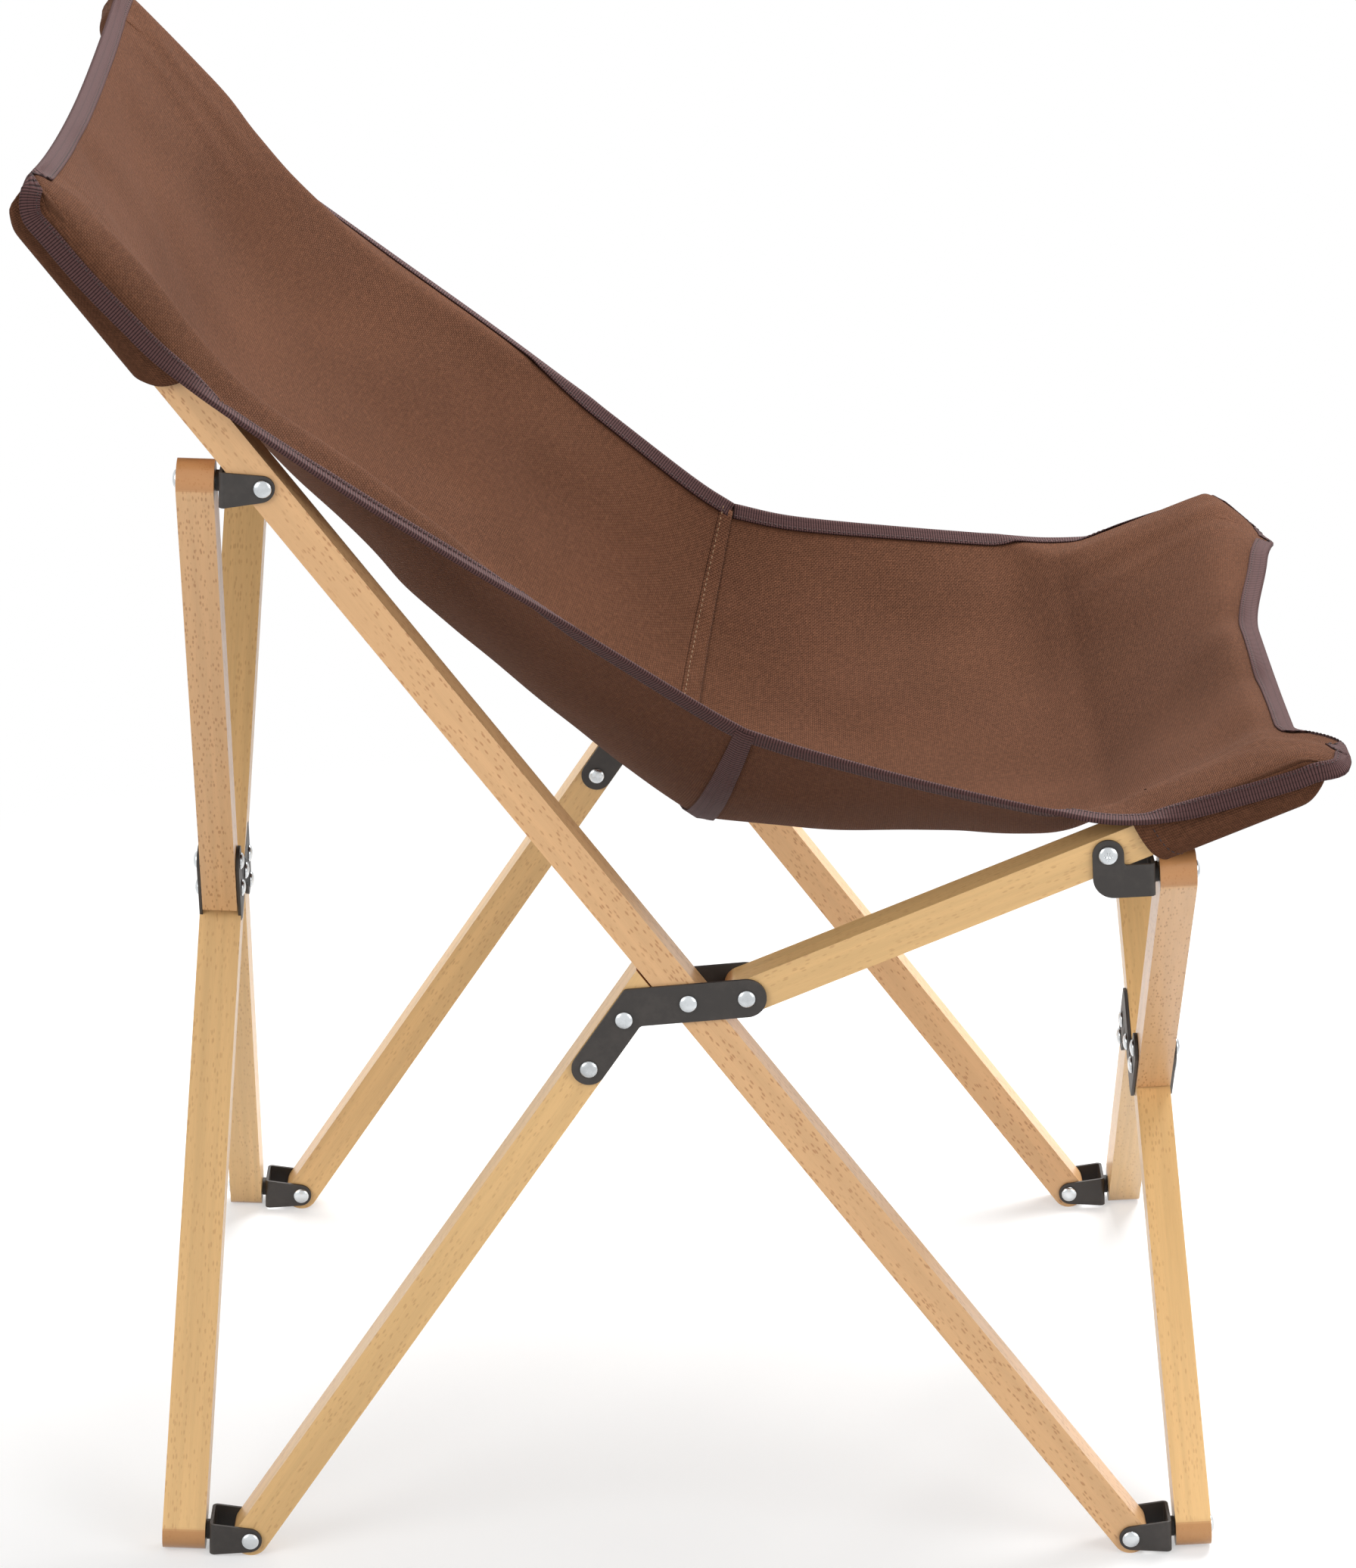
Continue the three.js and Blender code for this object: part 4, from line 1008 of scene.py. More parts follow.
# The sling. A station is one cross-section of a panel: run is its share of the way from the seam to the
# corner, proud the height of the cloth's edge over the bar's axis, beyond its distance outside the bar's
# middle, sag the hang of the cloth at the chair's middle, lean the turn of that hang towards the back in
# degrees, and crest the height of the cloth over the bar. Ridges are how far inside the bar the hang starts.
Station = namedtuple("Station", "run proud beyond sag lean crest")
SEAM_RUN = 0.1064
SEAM_PROUD = 0.1254
BAR_CREST = 0.0126
BAR_SHOULDER = 0.0134
RIDGES = {"back": 0.0105, "seat": 0.02}
BACK_STATIONS = (
    Station(0, SEAM_PROUD, -0.03, 0.127, 14, 0.111),
    Station(0.06, 0.1138, -0.0258, 0.118, 24, 0.0998),
    Station(0.21, 0.0901, -0.009, 0.102, 45, 0.0765),
    Station(0.36, 0.065, 0.0078, 0.093, 52, 0.0695),
    Station(0.51, 0.0395, 0.0185, 0.081, 52, 0.0505),
    Station(0.65, 0.0172, 0.0225, 0.064, 52, 0.0285),
    Station(0.75, 0.0028, 0.0225, 0.048, 52, 0.0245),
    Station(0.81, -0.0013, 0.0225, 0.04, 52, 0.0258),
    Station(0.88, -0.0046, 0.0222, 0.029, 52, 0.0228),
    Station(0.94, -0.0052, 0.0218, 0.018, 52, 0.0185),
    Station(0.968, -0.0055, 0.0208, 0.0135, 52, 0.0158),
    Station(0.985, -0.0015, 0.017, 0.0125, 52, 0.0138),
    Station(0.996, 0.0045, 0.0115, 0.0125, 52, 0.0125),
    Station(1, 0.0088, 0.001, 0.0128, 52, 0.0118),
)
SEAT_STATIONS = (
    Station(0.1, 0.1188, -0.0225, 0.117, 5, BAR_CREST),
    Station(0.28, 0.0789, -0.003, 0.1, -4, BAR_CREST),
    Station(0.47, 0.0395, 0.0144, 0.082, -10, 0.014),
    Station(0.57, 0.0205, 0.0205, 0.065, -10, 0.0185),
    Station(0.68, 0.0075, 0.0205, 0.049, -10, 0.018),
    Station(0.79, 0.0022, 0.0205, 0.034, -10, 0.017),
    Station(0.88, -0.001, 0.0203, 0.021, -10, 0.0158),
    Station(0.922, -0.002, 0.02, 0.015, -10, 0.0125),
    Station(0.955, -0.0015, 0.0175, 0.015, -10, 0.009),
    Station(0.985, 0.0002, 0.0105, 0.0135, -10, 0.005),
    Station(1, 0.0008, -0.004, 0.0128, -10, 0.0025),
)
# Free edges and corners. Pairs are the two ends of an eased step, but for the near and the far droop.
CORNER_MARGINS = {"back": 0.0105, "seat": 0.0235}
EDGE_CUTS = {"back": 0.0135, "seat": 0.0235}
EDGE_CUT_POWER = 6
NEAR_LOBE = (-0.93, -0.7)
FAR_LOBE = (0.1, 0.7)
FAR_ROUND = (0.8, 1)
FAR_ROUND_CUT = 0.3
DROOPS = {"back": (0, 0), "seat": (0.009, 0.03)}
NEAR_DROOP = (0.75, 1)
FAR_DROOP = (0.55, 1)
PAST_TIP = (0.93, 1)
TOWARDS_TIP = (0.85, 0.93)
DROOP_STRETCH = 0.15
SAG_POWER = 2.2
DROP_POWER = 1.35
SHORTEST_DROP = 0.001
DROP_WIDTH = 0.0065
FAR_RIDGE = (0.5, 0.68)
FAR_SIDE = (0, 0.85)
FREE_RISE = (-0.008, 0.03)

Panel = namedtuple("Panel", "name start out face seam_run tip stations")
HALF_WIDTH = middle("left_centre_pivot_rivet").y


def make_panels():
    """The back panel on the long bars and the seat panel on the seat rails, sharing the seam."""
    pivot, rail = middle("left_centre_pivot_rivet"), middle("left_rail_pivot_rivet")
    bar_up = (middle("left_rear_top_rivet") - pivot).normalized()
    rail_out = (middle("left_front_top_rivet") - rail).normalized()
    pivot.y = rail.y = 0
    bar_face, rail_face = (ACROSS.cross(run) for run in (bar_up, rail_out))
    bar_face *= math.copysign(1, bar_face.x)
    rail_face *= math.copysign(1, rail_face.z)
    bar_tip = spans("left_long_bar", placed(pivot, bar_up, ACROSS))[0][1]
    rail_tip = spans("left_seat_rail", placed(rail, rail_out, ACROSS))[0][1]
    seam = pivot + bar_up * SEAM_RUN + bar_face * SEAM_PROUD - rail
    seat_seam = BACK_STATIONS[0]._replace(proud=seam.dot(rail_face))
    return (Panel("back", pivot, bar_up, bar_face, SEAM_RUN, bar_tip, BACK_STATIONS),
            Panel("seat", rail, rail_out, rail_face, seam.dot(rail_out), rail_tip, (seat_seam, *SEAT_STATIONS)))


PANELS = {panel.name: panel for panel in make_panels()}


def spline(points, share):
    """A smooth curve through points of any kind, with share from 0 to 1."""
    last = len(points) - 1
    place = min(max(share, 0), 1) * last
    index = min(int(place), last - 1)
    t = place - index
    b, c = points[index], points[index + 1]
    a = points[index - 1] if index > 0 else 2 * b - c
    d = points[index + 2] if index + 2 <= last else 2 * c - b
    return 0.5 * (2 * b + (c - a) * t + (2 * a - 5 * b + 4 * c - d) * t ** 2 + (3 * b - a - 3 * c + d) * t ** 3)


@lru_cache(maxsize=None)
def station_at(name, share):
    """A smooth reading between a panel's stations."""
    return Station(*(spline(field, share) for field in zip(*PANELS[name].stations)))


def eased(value, low, high):
    t = min(max((value - low) / (high - low), 0), 1)
    return t * t * (3 - 2 * t)


def half_span_at(name, share):
    return HALF_WIDTH + station_at(name, share).beyond


def run_at(name, share):
    panel = PANELS[name]
    corner = panel.tip + CORNER_MARGINS[name]
    return panel.seam_run + station_at(name, share).run * (corner - panel.seam_run)


def edge_cut(name, side):
    """How far the free edge is cut back: the seat keeps a narrow lobe near the camera and a broad one beyond."""
    if name == "back":
        return 1 - side * side
    hollow = eased(side, *NEAR_LOBE) * (1 - eased(side, *FAR_LOBE))
    return hollow + FAR_ROUND_CUT * eased(side, *FAR_ROUND)


def cloth_point(name, share, side):
    """A point of the cloth: share runs from the seam to the free edge, side from -1 to 1 across."""
    panel = PANELS[name]
    station = station_at(name, share)
    half_span = HALF_WIDTH + station.beyond
    lateral = abs(side) * half_span
    shoulder = min(half_span, HALF_WIDTH - RIDGES[name])
    outside = min(half_span - DROP_WIDTH, HALF_WIDTH + BAR_SHOULDER)
    over_bar = max(eased(half_span, HALF_WIDTH - BAR_SHOULDER, HALF_WIDTH), eased(station.run, *TOWARDS_TIP))
    ridge, edge = (station.proud + over_bar * max(0, height - station.proud)
                   for height in (station.crest, min(station.crest, BAR_CREST)))
    if name == "back":
        ridge += (edge - ridge) * eased(side, *FAR_SIDE) * (1 - eased(station.run, *FAR_RIDGE))
    slope = min(1, max(0, lateral - shoulder) / max(outside - shoulder, SHORTEST_DROP))
    drop = min(1, max(0, lateral - outside) / max(half_span - outside, SHORTEST_DROP))
    proud = ridge + (edge - ridge) * slope ** DROP_POWER + (station.proud - edge) * drop ** DROP_POWER
    shoulder += (half_span - shoulder) * eased(station.proud - station.crest, *FREE_RISE)
    hang = station.sag * (1 - (lateral / shoulder) ** SAG_POWER) if lateral < shoulder else 0
    near_droop, far_droop = DROOPS[name]
    droop = near_droop * eased(-side, *NEAR_DROOP) + far_droop * eased(side, *FAR_DROOP)
    droop *= eased(station.run, *PAST_TIP)
    run = run_at(name, share) + DROOP_STRETCH * droop
    run -= EDGE_CUTS[name] * station.run ** EDGE_CUT_POWER * edge_cut(name, side)
    lean = math.radians(station.lean)
    down = Vector((-math.sin(lean), 0, -math.cos(lean)))
    point = panel.start + panel.out * run + panel.face * (proud - droop) + down * hang
    return Vector((point.x, side * half_span, point.z))


NORMAL_STEP = 0.004


def cloth_normal(name, share, side):
    """The cloth's upper side at a point."""
    low, high = max(share - NORMAL_STEP, 0), min(share + NORMAL_STEP, 1)
    run = cloth_point(name, high, side) - cloth_point(name, low, side)
    low, high = max(side - NORMAL_STEP, -1), min(side + NORMAL_STEP, 1)
    over = cloth_point(name, share, high) - cloth_point(name, share, low)
    normal = run.cross(over).normalized()
    return normal if normal.dot(PANELS[name].face) > 0 else -normal


EDGE_STEPS = 400
ROW_SIDES = (1.0, 0.6)


def lengths_gone(points):
    return [0, *accumulate((b - a).length for a, b in zip(points, points[1:]))]


@lru_cache(maxsize=None)
def edge_gone(name):
    """Lengths gone along a panel from the seam, at even steps of share, between its edge and its middle."""
    paths = [lengths_gone([cloth_point(name, step / EDGE_STEPS, side) for step in range(EDGE_STEPS + 1)])
             for side in ROW_SIDES]
    return [sum(lengths) / len(lengths) for lengths in zip(*paths)]


def side_length(name):
    return edge_gone(name)[-1]


@lru_cache(maxsize=None)
def share_after(name, length):
    """The share at a length along a panel from the seam."""
    gone = edge_gone(name)
    index = min(max(bisect(gone, length) - 1, 0), EDGE_STEPS - 1)
    part = (length - gone[index]) / (gone[index + 1] - gone[index])
    return min(max((index + part) / EDGE_STEPS, 0), 1)


def gone_at(name, share):
    place = min(max(share, 0), 1) * EDGE_STEPS
    index = min(int(place), EDGE_STEPS - 1)
    gone = edge_gone(name)
    return gone[index] + (gone[index + 1] - gone[index]) * (place - index)


@lru_cache(maxsize=None)
def rim_path(name):
    """Shares and sides along the rim from the seam round both corners to the seam, and the lengths gone."""
    up = [(step / EDGE_STEPS, -1) for step in range(EDGE_STEPS)]
    over = [(1, 2 * step / EDGE_STEPS - 1) for step in range(EDGE_STEPS)]
    spots = [*up, *over, (1, 1), *((share, 1) for share, _ in reversed(up))]
    return spots, lengths_gone([cloth_point(name, *spot) for spot in spots])


def rim_length(name):
    return rim_path(name)[1][-1]


def rim_at(name, travel):
    """Share and side at a distance along the rim."""
    spots, gone = rim_path(name)
    index = min(max(bisect(gone, travel) - 1, 0), len(spots) - 2)
    part = min(max((travel - gone[index]) / max(gone[index + 1] - gone[index], 1e-6), 0), 1)
    return tuple(a + (b - a) * part for a, b in zip(spots[index], spots[index + 1]))


INWARD_STEP = 0.0016
INWARD_STEPS = 10
RIM_REACH = 0.004
SLOPE_STEP = 0.003


def slopes(name, share, side):
    """How a point of the cloth moves with share and with side."""
    low, high = max(share - SLOPE_STEP, 0), min(share + SLOPE_STEP, 1)
    by_share = (cloth_point(name, high, side) - cloth_point(name, low, side)) / (high - low)
    low, high = max(side - SLOPE_STEP, -1), min(side + SLOPE_STEP, 1)
    return by_share, (cloth_point(name, share, high) - cloth_point(name, share, low)) / (high - low)


@lru_cache(maxsize=None)
def inward_path(name, travel):
    """Shares and sides at even steps along the cloth from its rim inwards, square to the rim."""
    ends = [cloth_point(name, *rim_at(name, travel + reach)) for reach in (-RIM_REACH, RIM_REACH)]
    along = (ends[1] - ends[0]).normalized()
    middle_of_cloth = cloth_point(name, 0.5, 0)
    share, side = rim_at(name, travel)
    spots = [(share, side)]
    for _ in range(INWARD_STEPS):
        by_share, by_side = slopes(name, share, side)
        inward = by_share.cross(by_side).cross(along).normalized()
        inward *= math.copysign(INWARD_STEP, inward.dot(middle_of_cloth - sum(ends, Vector()) / 2))
        across = by_share.dot(by_side)
        scale = by_share.length_squared * by_side.length_squared - across ** 2
        onto_share, onto_side = by_share.dot(inward), by_side.dot(inward)
        share += (onto_share * by_side.length_squared - onto_side * across) / scale
        side += (onto_side * by_share.length_squared - onto_share * across) / scale
        share, side = min(max(share, 0), 1), min(max(side, -1), 1)
        spots.append((share, side))
    return spots


def inside_rim(name, travel, length):
    """Share and side at a length of cloth inside the rim."""
    spots = inward_path(name, travel)
    index = min(int(length / INWARD_STEP), INWARD_STEPS - 1)
    part = length / INWARD_STEP - index
    return tuple(a + (b - a) * part for a, b in zip(spots[index], spots[index + 1]))


# Swells. Folds are (inset from the bar, height), dimples (length from the free edge, side, radius, depth) and
# creases (share of a right angle at the corner, sharpness, height).
SWELL_SIDE = 0.06
SWELL_END = 0.05
COARSE, FINE, FINE_SHARE = 8.0, 19.0, 0.55
FINE_SHIFT = Vector((5, 3, 1))
PUCKER = 0.0012
PUCKER_SCALE = (55.0, 12.0)
PUCKER_REACH = 0.022
PUCKER_START = 0.006
FOLD_MOUTH = (-0.02, 0.04)
FOLD_END = (0.012, 0.05)
FOLD_DRIFT = 0.014
DRIFT_SCALE = 9.0
CREASE_START = (0.012, 0.03)
CREASE_END = (0.05, 0.13)
FOLDS = ((0.024, 0.0016), (0.052, 0.0013))
FOLD_HALF = 0.007
DIMPLES = {"back": ((0.035, -0.3, 0.03, 0.004), (0.17, 0.55, 0.05, 0.007), (0.3, -0.1, 0.07, 0.005)),
           "seat": ((0.034, 0.2, 0.024, 0.005), (0.034, -0.22, 0.026, 0.005), (0.07, -0.62, 0.03, 0.003))}
CREASES = ((0.2, 9.0, -0.0016), (0.5, 12.0, 0.002), (0.72, 14.0, 0.001))


def swell_at(name, share, side, point):
    """Slack swells that fade out at the edges, a ridge along the pockets and creases from the corners."""
    swell = settings("sling").swell
    half_span = half_span_at(name, share)
    gone = gone_at(name, share)
    from_side = (1 - abs(side)) * half_span
    from_end = side_length(name) - gone
    inside = eased(from_side, 0, SWELL_SIDE)
    away = eased(from_end, 0, SWELL_END) * eased(gone, 0, SWELL_END)
    broad = noise.noise(point * COARSE) + FINE_SHARE * noise.noise(point * FINE + FINE_SHIFT)
    pucker = noise.noise(Vector((point.y * PUCKER_SCALE[0], gone * PUCKER_SCALE[1], 7)))
    near_seam = math.exp(-((gone / PUCKER_REACH) ** 2)) * eased(gone, 0, PUCKER_START)
    height = swell * broad * inside * away + PUCKER * pucker * near_seam * inside
    along_pocket = eased(run_at(name, share) - POCKET_MOUTHS[name], *FOLD_MOUTH) * eased(from_end, *FOLD_END)
    drift = FOLD_DRIFT * noise.noise(Vector((gone * DRIFT_SCALE, side, 3)))
    for inset, fold in FOLDS:
        off_fold = (HALF_WIDTH - RIDGES["back"] - abs(side) * half_span - inset - drift) / FOLD_HALF
        height += fold * along_pocket * math.exp(-off_fold ** 2)
    for end, at, radius, depth in DIMPLES[name]:
        off = math.hypot(from_end - end, (side - at) * half_span) / radius
        height -= depth * away * math.exp(-off ** 2)
    from_corner = math.hypot(from_end, from_side)
    angle = math.atan2(from_end, max(from_side, 1e-6)) / (math.pi / 2)
    reach = eased(from_corner, *CREASE_START) * (1 - eased(from_corner, *CREASE_END))
    for at, sharpness, crease in CREASES:
        height += crease * reach * math.exp(-(((angle - at) * sharpness) ** 2))
    return height


def draped(name, share, side):
    """A point of the finished cloth, with its swells."""
    point = cloth_point(name, share, side)
    return point + cloth_normal(name, share, side) * swell_at(name, share, side, point)


def gathers(obj):
    """Gives the cloth its own copy of its mesh."""
    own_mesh(obj)


def thickened(obj, thickness, levels):
    if levels:
        smooth = obj.modifiers.new("Smooth", "SUBSURF")
        smooth.levels = smooth.render_levels = levels
    wall = obj.modifiers.new("Wall", "SOLIDIFY")
    wall.thickness = thickness
    wall.offset = 0.0


def cloth_piece(bm, name, look, body, thickness, levels=0, nodes=()):
    """A sheet of cloth or tape made of a bent grid."""
    bmesh.ops.recalc_face_normals(bm, faces=bm.faces)
    obj = piece(bm, name, finish(look), body, nodes)
    thickened(obj, thickness, levels)
    return obj


PANEL_BODIES = {"back": "right_long", "seat": "sling_seat"}
PANEL_FLATS = {"back": (0.61, 0.58), "seat": (0.57, 0.42)}
MADE = {}


class SLINGCHAIR_OT_panels(bpy.types.Operator):
    """Hangs the back and seat panels of the sling"""

    bl_idname = "slingchair.panels"
    bl_label = "Sling Panels"

    columns = 100
    rows = 76
    smoothing = 0.35

    def execute(self, context):
        for name in PANELS:
            length = side_length(name)

            def place(u, v):
                return draped(name, share_after(name, v * length), 2 * u - 1)

            bm = bent_grid(self.columns, self.rows, place, PANEL_FLATS[name])
            inner = [vert for vert in bm.verts if not vert.is_boundary]
            bmesh.ops.smooth_vert(bm, verts=inner, factor=self.smoothing,
                                  use_axis_x=True, use_axis_y=True, use_axis_z=True)
            MADE[name] = cloth_piece(bm, f"sling_{name}_cloth", "canvas", PANEL_BODIES[name],
                                     settings("sling").thickness, 1, [f"sling_{name}_panel"])
            gathers(MADE[name])
        return {"FINISHED"}


POCKET_MOUTHS = {"back": 0.493, "seat": 0.259}
POCKET_SLANTS = {"back": 0.026, "seat": 0.014}
POCKET_FLATS = {"back": (0.125, 0.158), "seat": (0.108, 0.15)}
POCKET_BODIES = {"back": "long", "seat": "seat"}
POCKET_GRID = (36, 56)
POCKET_RIM_INSET = 0.005
POCKET_FLARE = 0.0165
POCKET_FLARE_SHARE = 0.62
POCKET_FLARE_PROUD = -0.0085
POCKET_WALL = ((0.0155, -0.0155), (0, -0.0172), (-0.0165, -0.0152), (-0.0275, -0.003))
POCKET_OVER = (-0.044, -0.022, -0.002, 0.0115)
POCKET_UNDER_SHARE = 0.6
POCKET_CLOSING = 0.011
POCKET_PAST_TIP = 0.009


def share_at_run(name, run):
    """The share whose edge lies at a run along the bar."""
    low, high = 0.0, 1.0
    for _ in range(24):
        share = (low + high) / 2
        if run_at(name, share) < run:
            low = share
        else:
            high = share
    return share


@lru_cache(maxsize=None)
def pocket_section(name, sign, run):
    """Points round a bar pocket at a run: from the cloth's edge under the bar, up inside and back over it."""
    panel = PANELS[name]
    share = share_at_run(name, run)
    half_span = half_span_at(name, share)
    closing = max(0, (run - panel.tip + POCKET_CLOSING) / (POCKET_PAST_TIP + POCKET_CLOSING))
    depth = math.sqrt(max(0, 1 - closing ** 2))
    lift = settings("sling").thickness

    def under(side):
        return cloth_point(name, share, sign * side) - cloth_normal(name, share, sign * side) * lift

    def beside(outward, proud):
        lid = under(min(1, (HALF_WIDTH + outward) / half_span))
        base = panel.start + panel.out * run + panel.face * proud
        base.y = sign * (HALF_WIDTH + outward)
        return lid + (base - lid) * depth

    flare = max(POCKET_FLARE, POCKET_FLARE_SHARE * station_at(name, share).beyond)
    rim = 1 - POCKET_RIM_INSET / half_span
    wall = (beside(outward, proud) for outward, proud in ((flare, POCKET_FLARE_PROUD), *POCKET_WALL))
    over = (under(min(rim, (HALF_WIDTH + outward) / half_span)) for outward in POCKET_OVER)
    return (under(rim), *wall, *over, under(rim))


def pocket_point(name, sign, u, v):
    """A point of a bar pocket: u from its slanted mouth to its end, v round it from the cloth's edge."""
    start = POCKET_MOUTHS[name] + POCKET_SLANTS[name] * eased(v, 0.0, 0.5 * POCKET_UNDER_SHARE)
    end = PANELS[name].tip + POCKET_PAST_TIP
    return spline(pocket_section(name, sign, start + (end - start) * u), v)


class SLINGCHAIR_OT_pockets(bpy.types.Operator):
    """Makes the four pockets that slip over the bar ends"""

    bl_idname = "slingchair.pockets"
    bl_label = "Bar Pockets"

    def execute(self, context):
        for name in PANELS:
            for side, sign in SIDES.items():
                bm = bent_grid(*POCKET_GRID, lambda u, v: pocket_point(name, sign, u, v), POCKET_FLATS[name])
                MADE[side, name] = cloth_piece(bm, f"{side}_{name}_pocket", "canvas",
                                               f"{side}_{POCKET_BODIES[name]}", settings("sling").thickness, 1)
        return {"FINISHED"}


STITCH_RADIUS = 0.00042
STITCH_SHARE = 0.37


def stitch_row(name, colour, body, points, pitch, offset):
    """A row of stitches along (point, outward normal) pairs."""
    gone = lengths_gone([point for point, _ in points])

    def at(length):
        index = min(max(bisect(gone, length) - 1, 0), len(points) - 2)
        part = (length - gone[index]) / max(gone[index + 1] - gone[index], 1e-6)
        return tuple(a.lerp(b, part) for a, b in zip(points[index], points[index + 1]))

    half = pitch * STITCH_SHARE
    places = []
    for index in range(int(gone[-1] / pitch)):
        travel = (index + 0.5) * pitch
        (start, normal), (end, _) = at(travel - half), at(travel + half)
        place = placed((start + end) / 2 + normal.normalized() * offset, end - start, normal)
        places.append(place @ Matrix.Diagonal((half, STITCH_RADIUS, STITCH_RADIUS, 1)))
    bm = bmesh.new()
    single = bmesh.new()
    bmesh.ops.create_uvsphere(single, u_segments=6, v_segments=4, radius=1)
    stamp(bm, single, places)
    return piece(bm, name, finish(colour), body)


class SLINGCHAIR_OT_trim(bpy.types.Operator):
    """Sews on the edge tape, the seam tape and the stitching"""

    bl_idname = "slingchair.trim"
    bl_label = "Tape and Stitching"

    tape_thickness = 0.0009
    tape_gap = 0.0002
    tape_fold = 0.13
    tape_stitch_share = 0.8
    seam_half = 0.0075
    seam_stitch_inset = 0.0095
    seam_allowance = 0.0115
    tape_pitch = 0.0036
    tape_step = 0.005
    tape_rows = 22
    stitch_step = 0.004
    seam_pitch = 0.0044
    seam_columns = 120
    seam_rows = 8
    seam_look = 0.02
    fell_rows = 6
    fell_width = 0.985
    fell_taper = 0.25
    fell_stitch_lift = 1.35
    hem = 0.009
    hem_steps = 80
    hem_ends = (0.04, 0.96)
    hem_look = (0.02, 0.01)

    def execute(self, context):
        trims = {name: [self.edge_tape(name), self.edge_stitches(name, 1), self.edge_stitches(name, -1)]
                 for name in PANELS}
        trims["back"] += [self.seam_tape(), self.seam_fell(), self.seam_stitches()]
        for name, pieces in trims.items():
            for trim in pieces:
                gathers(trim)
            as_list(pieces)
            for side, sign in SIDES.items():
                self.hem_stitches(name, side, sign)
        return {"FINISHED"}

    def edge_tape(self, name):
        """Tape folded over the panel's free edges."""
        sling = settings("sling")
        total = rim_length(name)
        lift = sling.thickness / 2 + self.tape_thickness / 2 + self.tape_gap

        def place(u, v):
            across = 1 - 2 * v
            flat = max(0, abs(across) - self.tape_fold) / (1 - self.tape_fold)
            turn = min(1, abs(across) / self.tape_fold) * math.pi / 2
            spot = inside_rim(name, u * total, sling.tape_width * flat)
            rim, inner = (cloth_point(name, *inside_rim(name, u * total, inset)) for inset in (0, RIM_REACH))
            lean = cloth_normal(name, *spot) * math.copysign(math.sin(turn), across)
            return draped(name, *spot) + (lean + (rim - inner).normalized() * math.cos(turn)) * lift

        bm = bent_grid(int(total / self.tape_step), self.tape_rows, place, (total, 2 * sling.tape_width))
        return cloth_piece(bm, f"sling_{name}_edge_tape", "tape", PANEL_BODIES[name], self.tape_thickness)

    def edge_stitches(self, name, face):
        sling = settings("sling")
        total = rim_length(name)
        steps = int(total / self.stitch_step)
        spots = [inside_rim(name, total * step / steps, sling.tape_width * self.tape_stitch_share)
                 for step in range(steps + 1)]
        points = [(draped(name, *spot), cloth_normal(name, *spot) * face) for spot in spots]
        label = "upper" if face > 0 else "under"
        return stitch_row(f"sling_{name}_{label}_edge_stitches", "dark thread", PANEL_BODIES[name], points,
                          self.tape_pitch, sling.thickness / 2 + self.tape_thickness + self.tape_gap)

    def seam_tape(self):
        """Tape over the seam on the cloth's underside."""
        lift = settings("sling").thickness / 2 + self.tape_thickness / 2 + 2 * self.tape_gap
        width = 2 * half_span_at("back", 0.0)

        def place(u, v):
            reach = (2 * v - 1) * self.seam_half
            name = "seat" if reach > 0 else "back"
            side = 2 * u - 1
            normal = sum((cloth_normal(other, self.seam_look, side) for other in PANELS), Vector())
            return draped(name, share_after(name, abs(reach)), side) - normal.normalized() * lift

        bm = bent_grid(self.seam_columns, self.seam_rows, place, (width, 2 * self.seam_half))
        return cloth_piece(bm, "sling_seam_tape", "tape", PANEL_BODIES["back"], self.tape_thickness)

    def seam_fell(self):
        """The folded seam allowance that lies on the back panel's upper side."""
        thickness = settings("sling").thickness
        width = 2 * half_span_at("back", 0.0)

        def place(u, v):
            spot = (share_after("back", v * self.seam_allowance), (2 * u - 1) * self.fell_width)
            return draped("back", *spot) + cloth_normal("back", *spot) * thickness * (1 - self.fell_taper * v)

        bm = bent_grid(self.seam_columns, self.fell_rows, place, (width, self.seam_allowance))
        return cloth_piece(bm, "sling_seam_fell", "canvas", PANEL_BODIES["back"], thickness)

    def seam_stitches(self):
        """The pale row of stitches beside the seam, on the back panel."""
        share = share_after("back", self.seam_stitch_inset)
        spots = [(share, side / 100) for side in range(-99, 100)]
        points = [(draped("back", *spot), cloth_normal("back", *spot)) for spot in spots]
        return stitch_row("sling_seam_stitches", "seam thread", PANEL_BODIES["back"], points, self.seam_pitch,
                          settings("sling").thickness * self.fell_stitch_lift)

    def hem_stitches(self, name, side, sign):
        """Stitches round a pocket's mouth."""
        u = self.hem / (PANELS[name].tip - POCKET_MOUTHS[name])
        first, last = (POCKET_UNDER_SHARE * end for end in self.hem_ends)
        places = [first + (last - first) * step / self.hem_steps for step in range(self.hem_steps + 1)]
        onward, aside = self.hem_look
        points = []
        for v in places:
            around = pocket_point(name, sign, u, v + aside) - pocket_point(name, sign, u, v - aside)
            along = pocket_point(name, sign, u + onward, v) - pocket_point(name, sign, u, v)
            points.append((pocket_point(name, sign, u, v), around.cross(along).normalized() * -sign))
        return stitch_row(f"{side}_{name}_pocket_stitches", "dark thread", f"{side}_{POCKET_BODIES[name]}", points,
                          self.tape_pitch, settings("sling").thickness / 2)


# Stage

CAMERA_PLACE = (-0.0224, -3.27, 1.618)
FLOOR_HALF = 8
LIGHT_AIM = Vector((0, 0, 0.45))
LIGHTS = (  # name, place, size, power
    ("Overhead softbox", (0.9, 1.6, 2.9), 2.2, 162),
    ("Left softbox", (-2.6, -2.2, 2.0), 2.0, 49),
    ("Right softbox", (2.7, -2.0, 1.7), 2.0, 42),
)


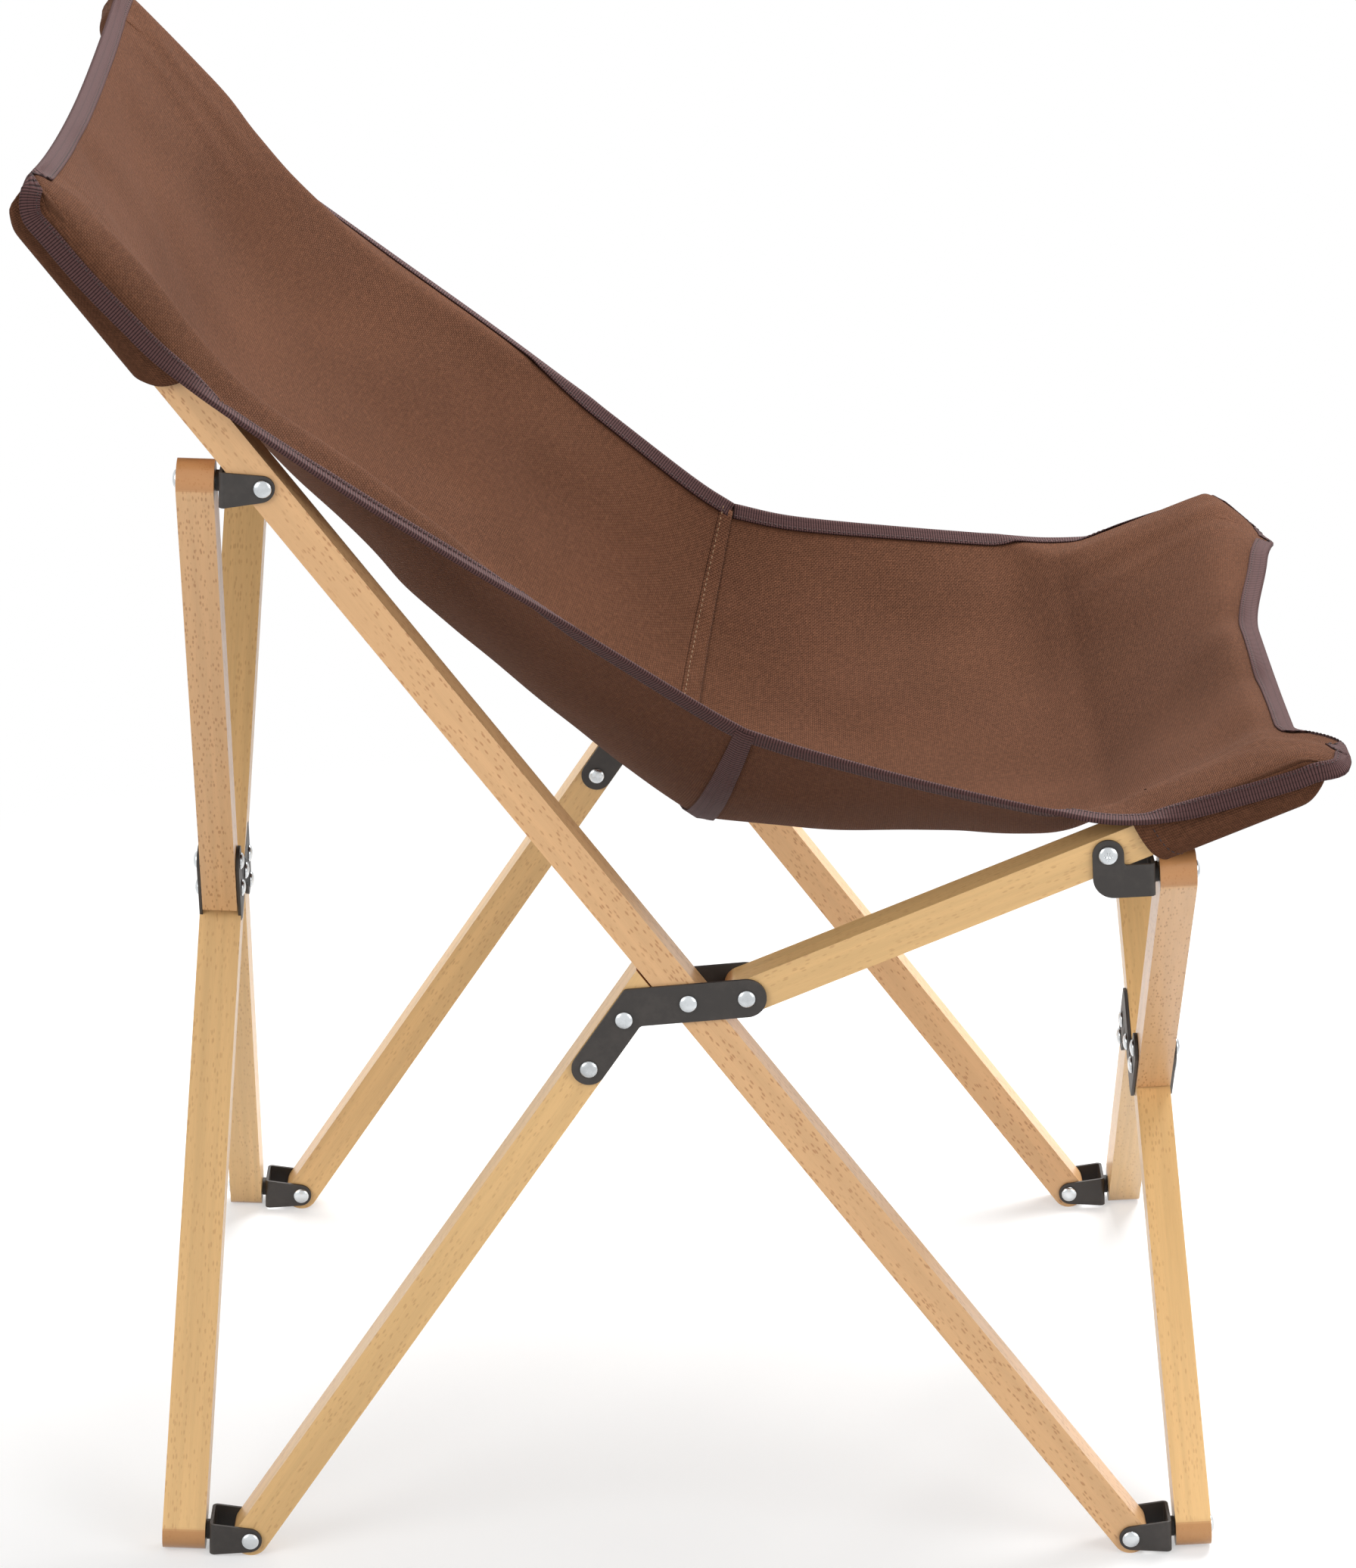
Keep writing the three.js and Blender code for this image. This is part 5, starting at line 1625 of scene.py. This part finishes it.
class SLINGCHAIR_OT_stage(bpy.types.Operator):
    """Sets the floor, the soft lights, the white surround and the camera"""

    bl_idname = "slingchair.stage"
    bl_label = "Stage"

    shadow_reach = (0.45, 1.25)
    paleness = 0.45
    world_light = 0.45

    def execute(self, context):
        self.floor()
        self.lights()
        self.surround(context.scene)
        self.camera(context.scene)
        context.scene.view_settings.view_transform = "Standard"
        return {"FINISHED"}

    @staticmethod
    def seen_direct(tree):
        """True for what the camera sees, directly or in gloss and glass."""
        path = node(tree, "ShaderNodeLightPath")
        seen = maths(tree, "MAXIMUM", path.outputs["Is Camera Ray"], path.outputs["Is Glossy Ray"])
        return maths(tree, "MAXIMUM", seen, path.outputs["Is Transmission Ray"])

    def floor(self):
        """A pale floor that keeps the shadow near the chair and is plain white further off."""
        bm = bmesh.new()
        bmesh.ops.create_grid(bm, x_segments=1, y_segments=1, size=FLOOR_HALF)
        mesh = bpy.data.meshes.new("Floor")
        bm.to_mesh(mesh)
        bm.free()
        floor = bpy.data.objects.new("Floor", mesh)
        bpy.context.scene.collection.objects.link(floor)
        material, tree, shader = new_material("Pale floor")
        shader.inputs["Base Color"].default_value = (*settings("stage").floor, 1)
        shader.inputs["Roughness"].default_value = 0.9
        shader.inputs["Specular IOR Level"].default_value = 0.1
        place = node(tree, "ShaderNodeTexCoord")
        far = node(tree, "ShaderNodeVectorMath", {0: place.outputs["Object"]}, operation="LENGTH")
        seen = self.seen_direct(tree)
        beyond = maths(tree, "MULTIPLY", ramp(tree, far.outputs["Value"], *self.shadow_reach), seen)
        white = node(tree, "ShaderNodeEmission", {"Strength": 1.0})
        pale = node(tree, "ShaderNodeEmission", {"Strength": maths(tree, "MULTIPLY", seen, self.paleness)})
        near = node(tree, "ShaderNodeAddShader", {0: shader.outputs[0], 1: pale.outputs[0]})
        mixed = node(tree, "ShaderNodeMixShader", {0: beyond, 1: near.outputs[0], 2: white.outputs[0]})
        tree.links.new(mixed.outputs[0], tree.nodes["Material Output"].inputs["Surface"])
        mesh.materials.append(material)

    @staticmethod
    def lights():
        for name, at, size, power in LIGHTS:
            lamp = bpy.data.lights.new(name, "AREA")
            lamp.shape = "SQUARE"
            lamp.size = size
            lamp.energy = power
            obj = bpy.data.objects.new(name, lamp)
            obj.location = at
            obj.rotation_mode = "QUATERNION"
            obj.rotation_quaternion = (LIGHT_AIM - Vector(at)).to_track_quat("-Z", "Y")
            bpy.context.scene.collection.objects.link(obj)

    def surround(self, scene):
        world = bpy.data.worlds.new("White surround")
        world.use_nodes = True
        tree = world.node_tree
        background = tree.nodes["Background"]
        strength = spread(tree, self.seen_direct(tree), self.world_light, 1.0)
        tree.links.new(strength, background.inputs["Strength"])
        background.inputs["Color"].default_value = (1, 1, 1, 1)
        scene.world = world

    @staticmethod
    def camera(scene):
        stage = settings("stage")
        data = bpy.data.cameras.new("Camera")
        data.lens = stage.lens
        camera = bpy.data.objects.new("Camera", data)
        pivot = middle("right_centre_pivot_rivet")
        camera.location = Vector(CAMERA_PLACE) + Vector((pivot.x, 0, 0))
        camera.rotation_euler = (math.pi / 2 - stage.pitch, 0, -stage.yaw)
        scene.collection.objects.link(camera)
        scene.camera = camera


OPERATORS = (
    SLINGCHAIR_OT_bars,
    SLINGCHAIR_OT_plates,
    SLINGCHAIR_OT_brackets,
    SLINGCHAIR_OT_fasteners,
    SLINGCHAIR_OT_panels,
    SLINGCHAIR_OT_pockets,
    SLINGCHAIR_OT_trim,
    SLINGCHAIR_OT_stage,
)
GROUPS = {"timber": TimberSettings, "steel": SteelSettings, "sling": SlingSettings, "stage": StageSettings}


class SLINGCHAIR_PT_sidebar(bpy.types.Panel):
    """Lists the steps that build the chair, and its sizes and colours"""

    bl_idname = "SLINGCHAIR_PT_sidebar"
    bl_label = "Sling Chair"
    bl_space_type = "VIEW_3D"
    bl_region_type = "UI"
    bl_category = "Sling Chair"

    def draw(self, context):
        column = self.layout.column()
        for operator in OPERATORS:
            column.operator(operator.bl_idname)
        for name, group in GROUPS.items():
            box = column.box()
            for key in group.__annotations__:
                box.prop(settings(name), key)


def register():
    for item in (*GROUPS.values(), *OPERATORS, SLINGCHAIR_PT_sidebar):
        bpy.utils.register_class(item)
    for name, group in GROUPS.items():
        setattr(bpy.types.Scene, f"sling_chair_{name}", PointerProperty(type=group))


def unregister():
    for name in GROUPS:
        delattr(bpy.types.Scene, f"sling_chair_{name}")
    for item in reversed((*GROUPS.values(), *OPERATORS, SLINGCHAIR_PT_sidebar)):
        bpy.utils.unregister_class(item)


def main():
    register()
    bpy.ops.slingchair.bars()
    bpy.ops.slingchair.plates()
    bpy.ops.slingchair.brackets()
    bpy.ops.slingchair.fasteners()
    bpy.ops.slingchair.panels()
    bpy.ops.slingchair.pockets()
    bpy.ops.slingchair.trim()
    bpy.ops.slingchair.stage()


if __name__ == "__main__":
    main()
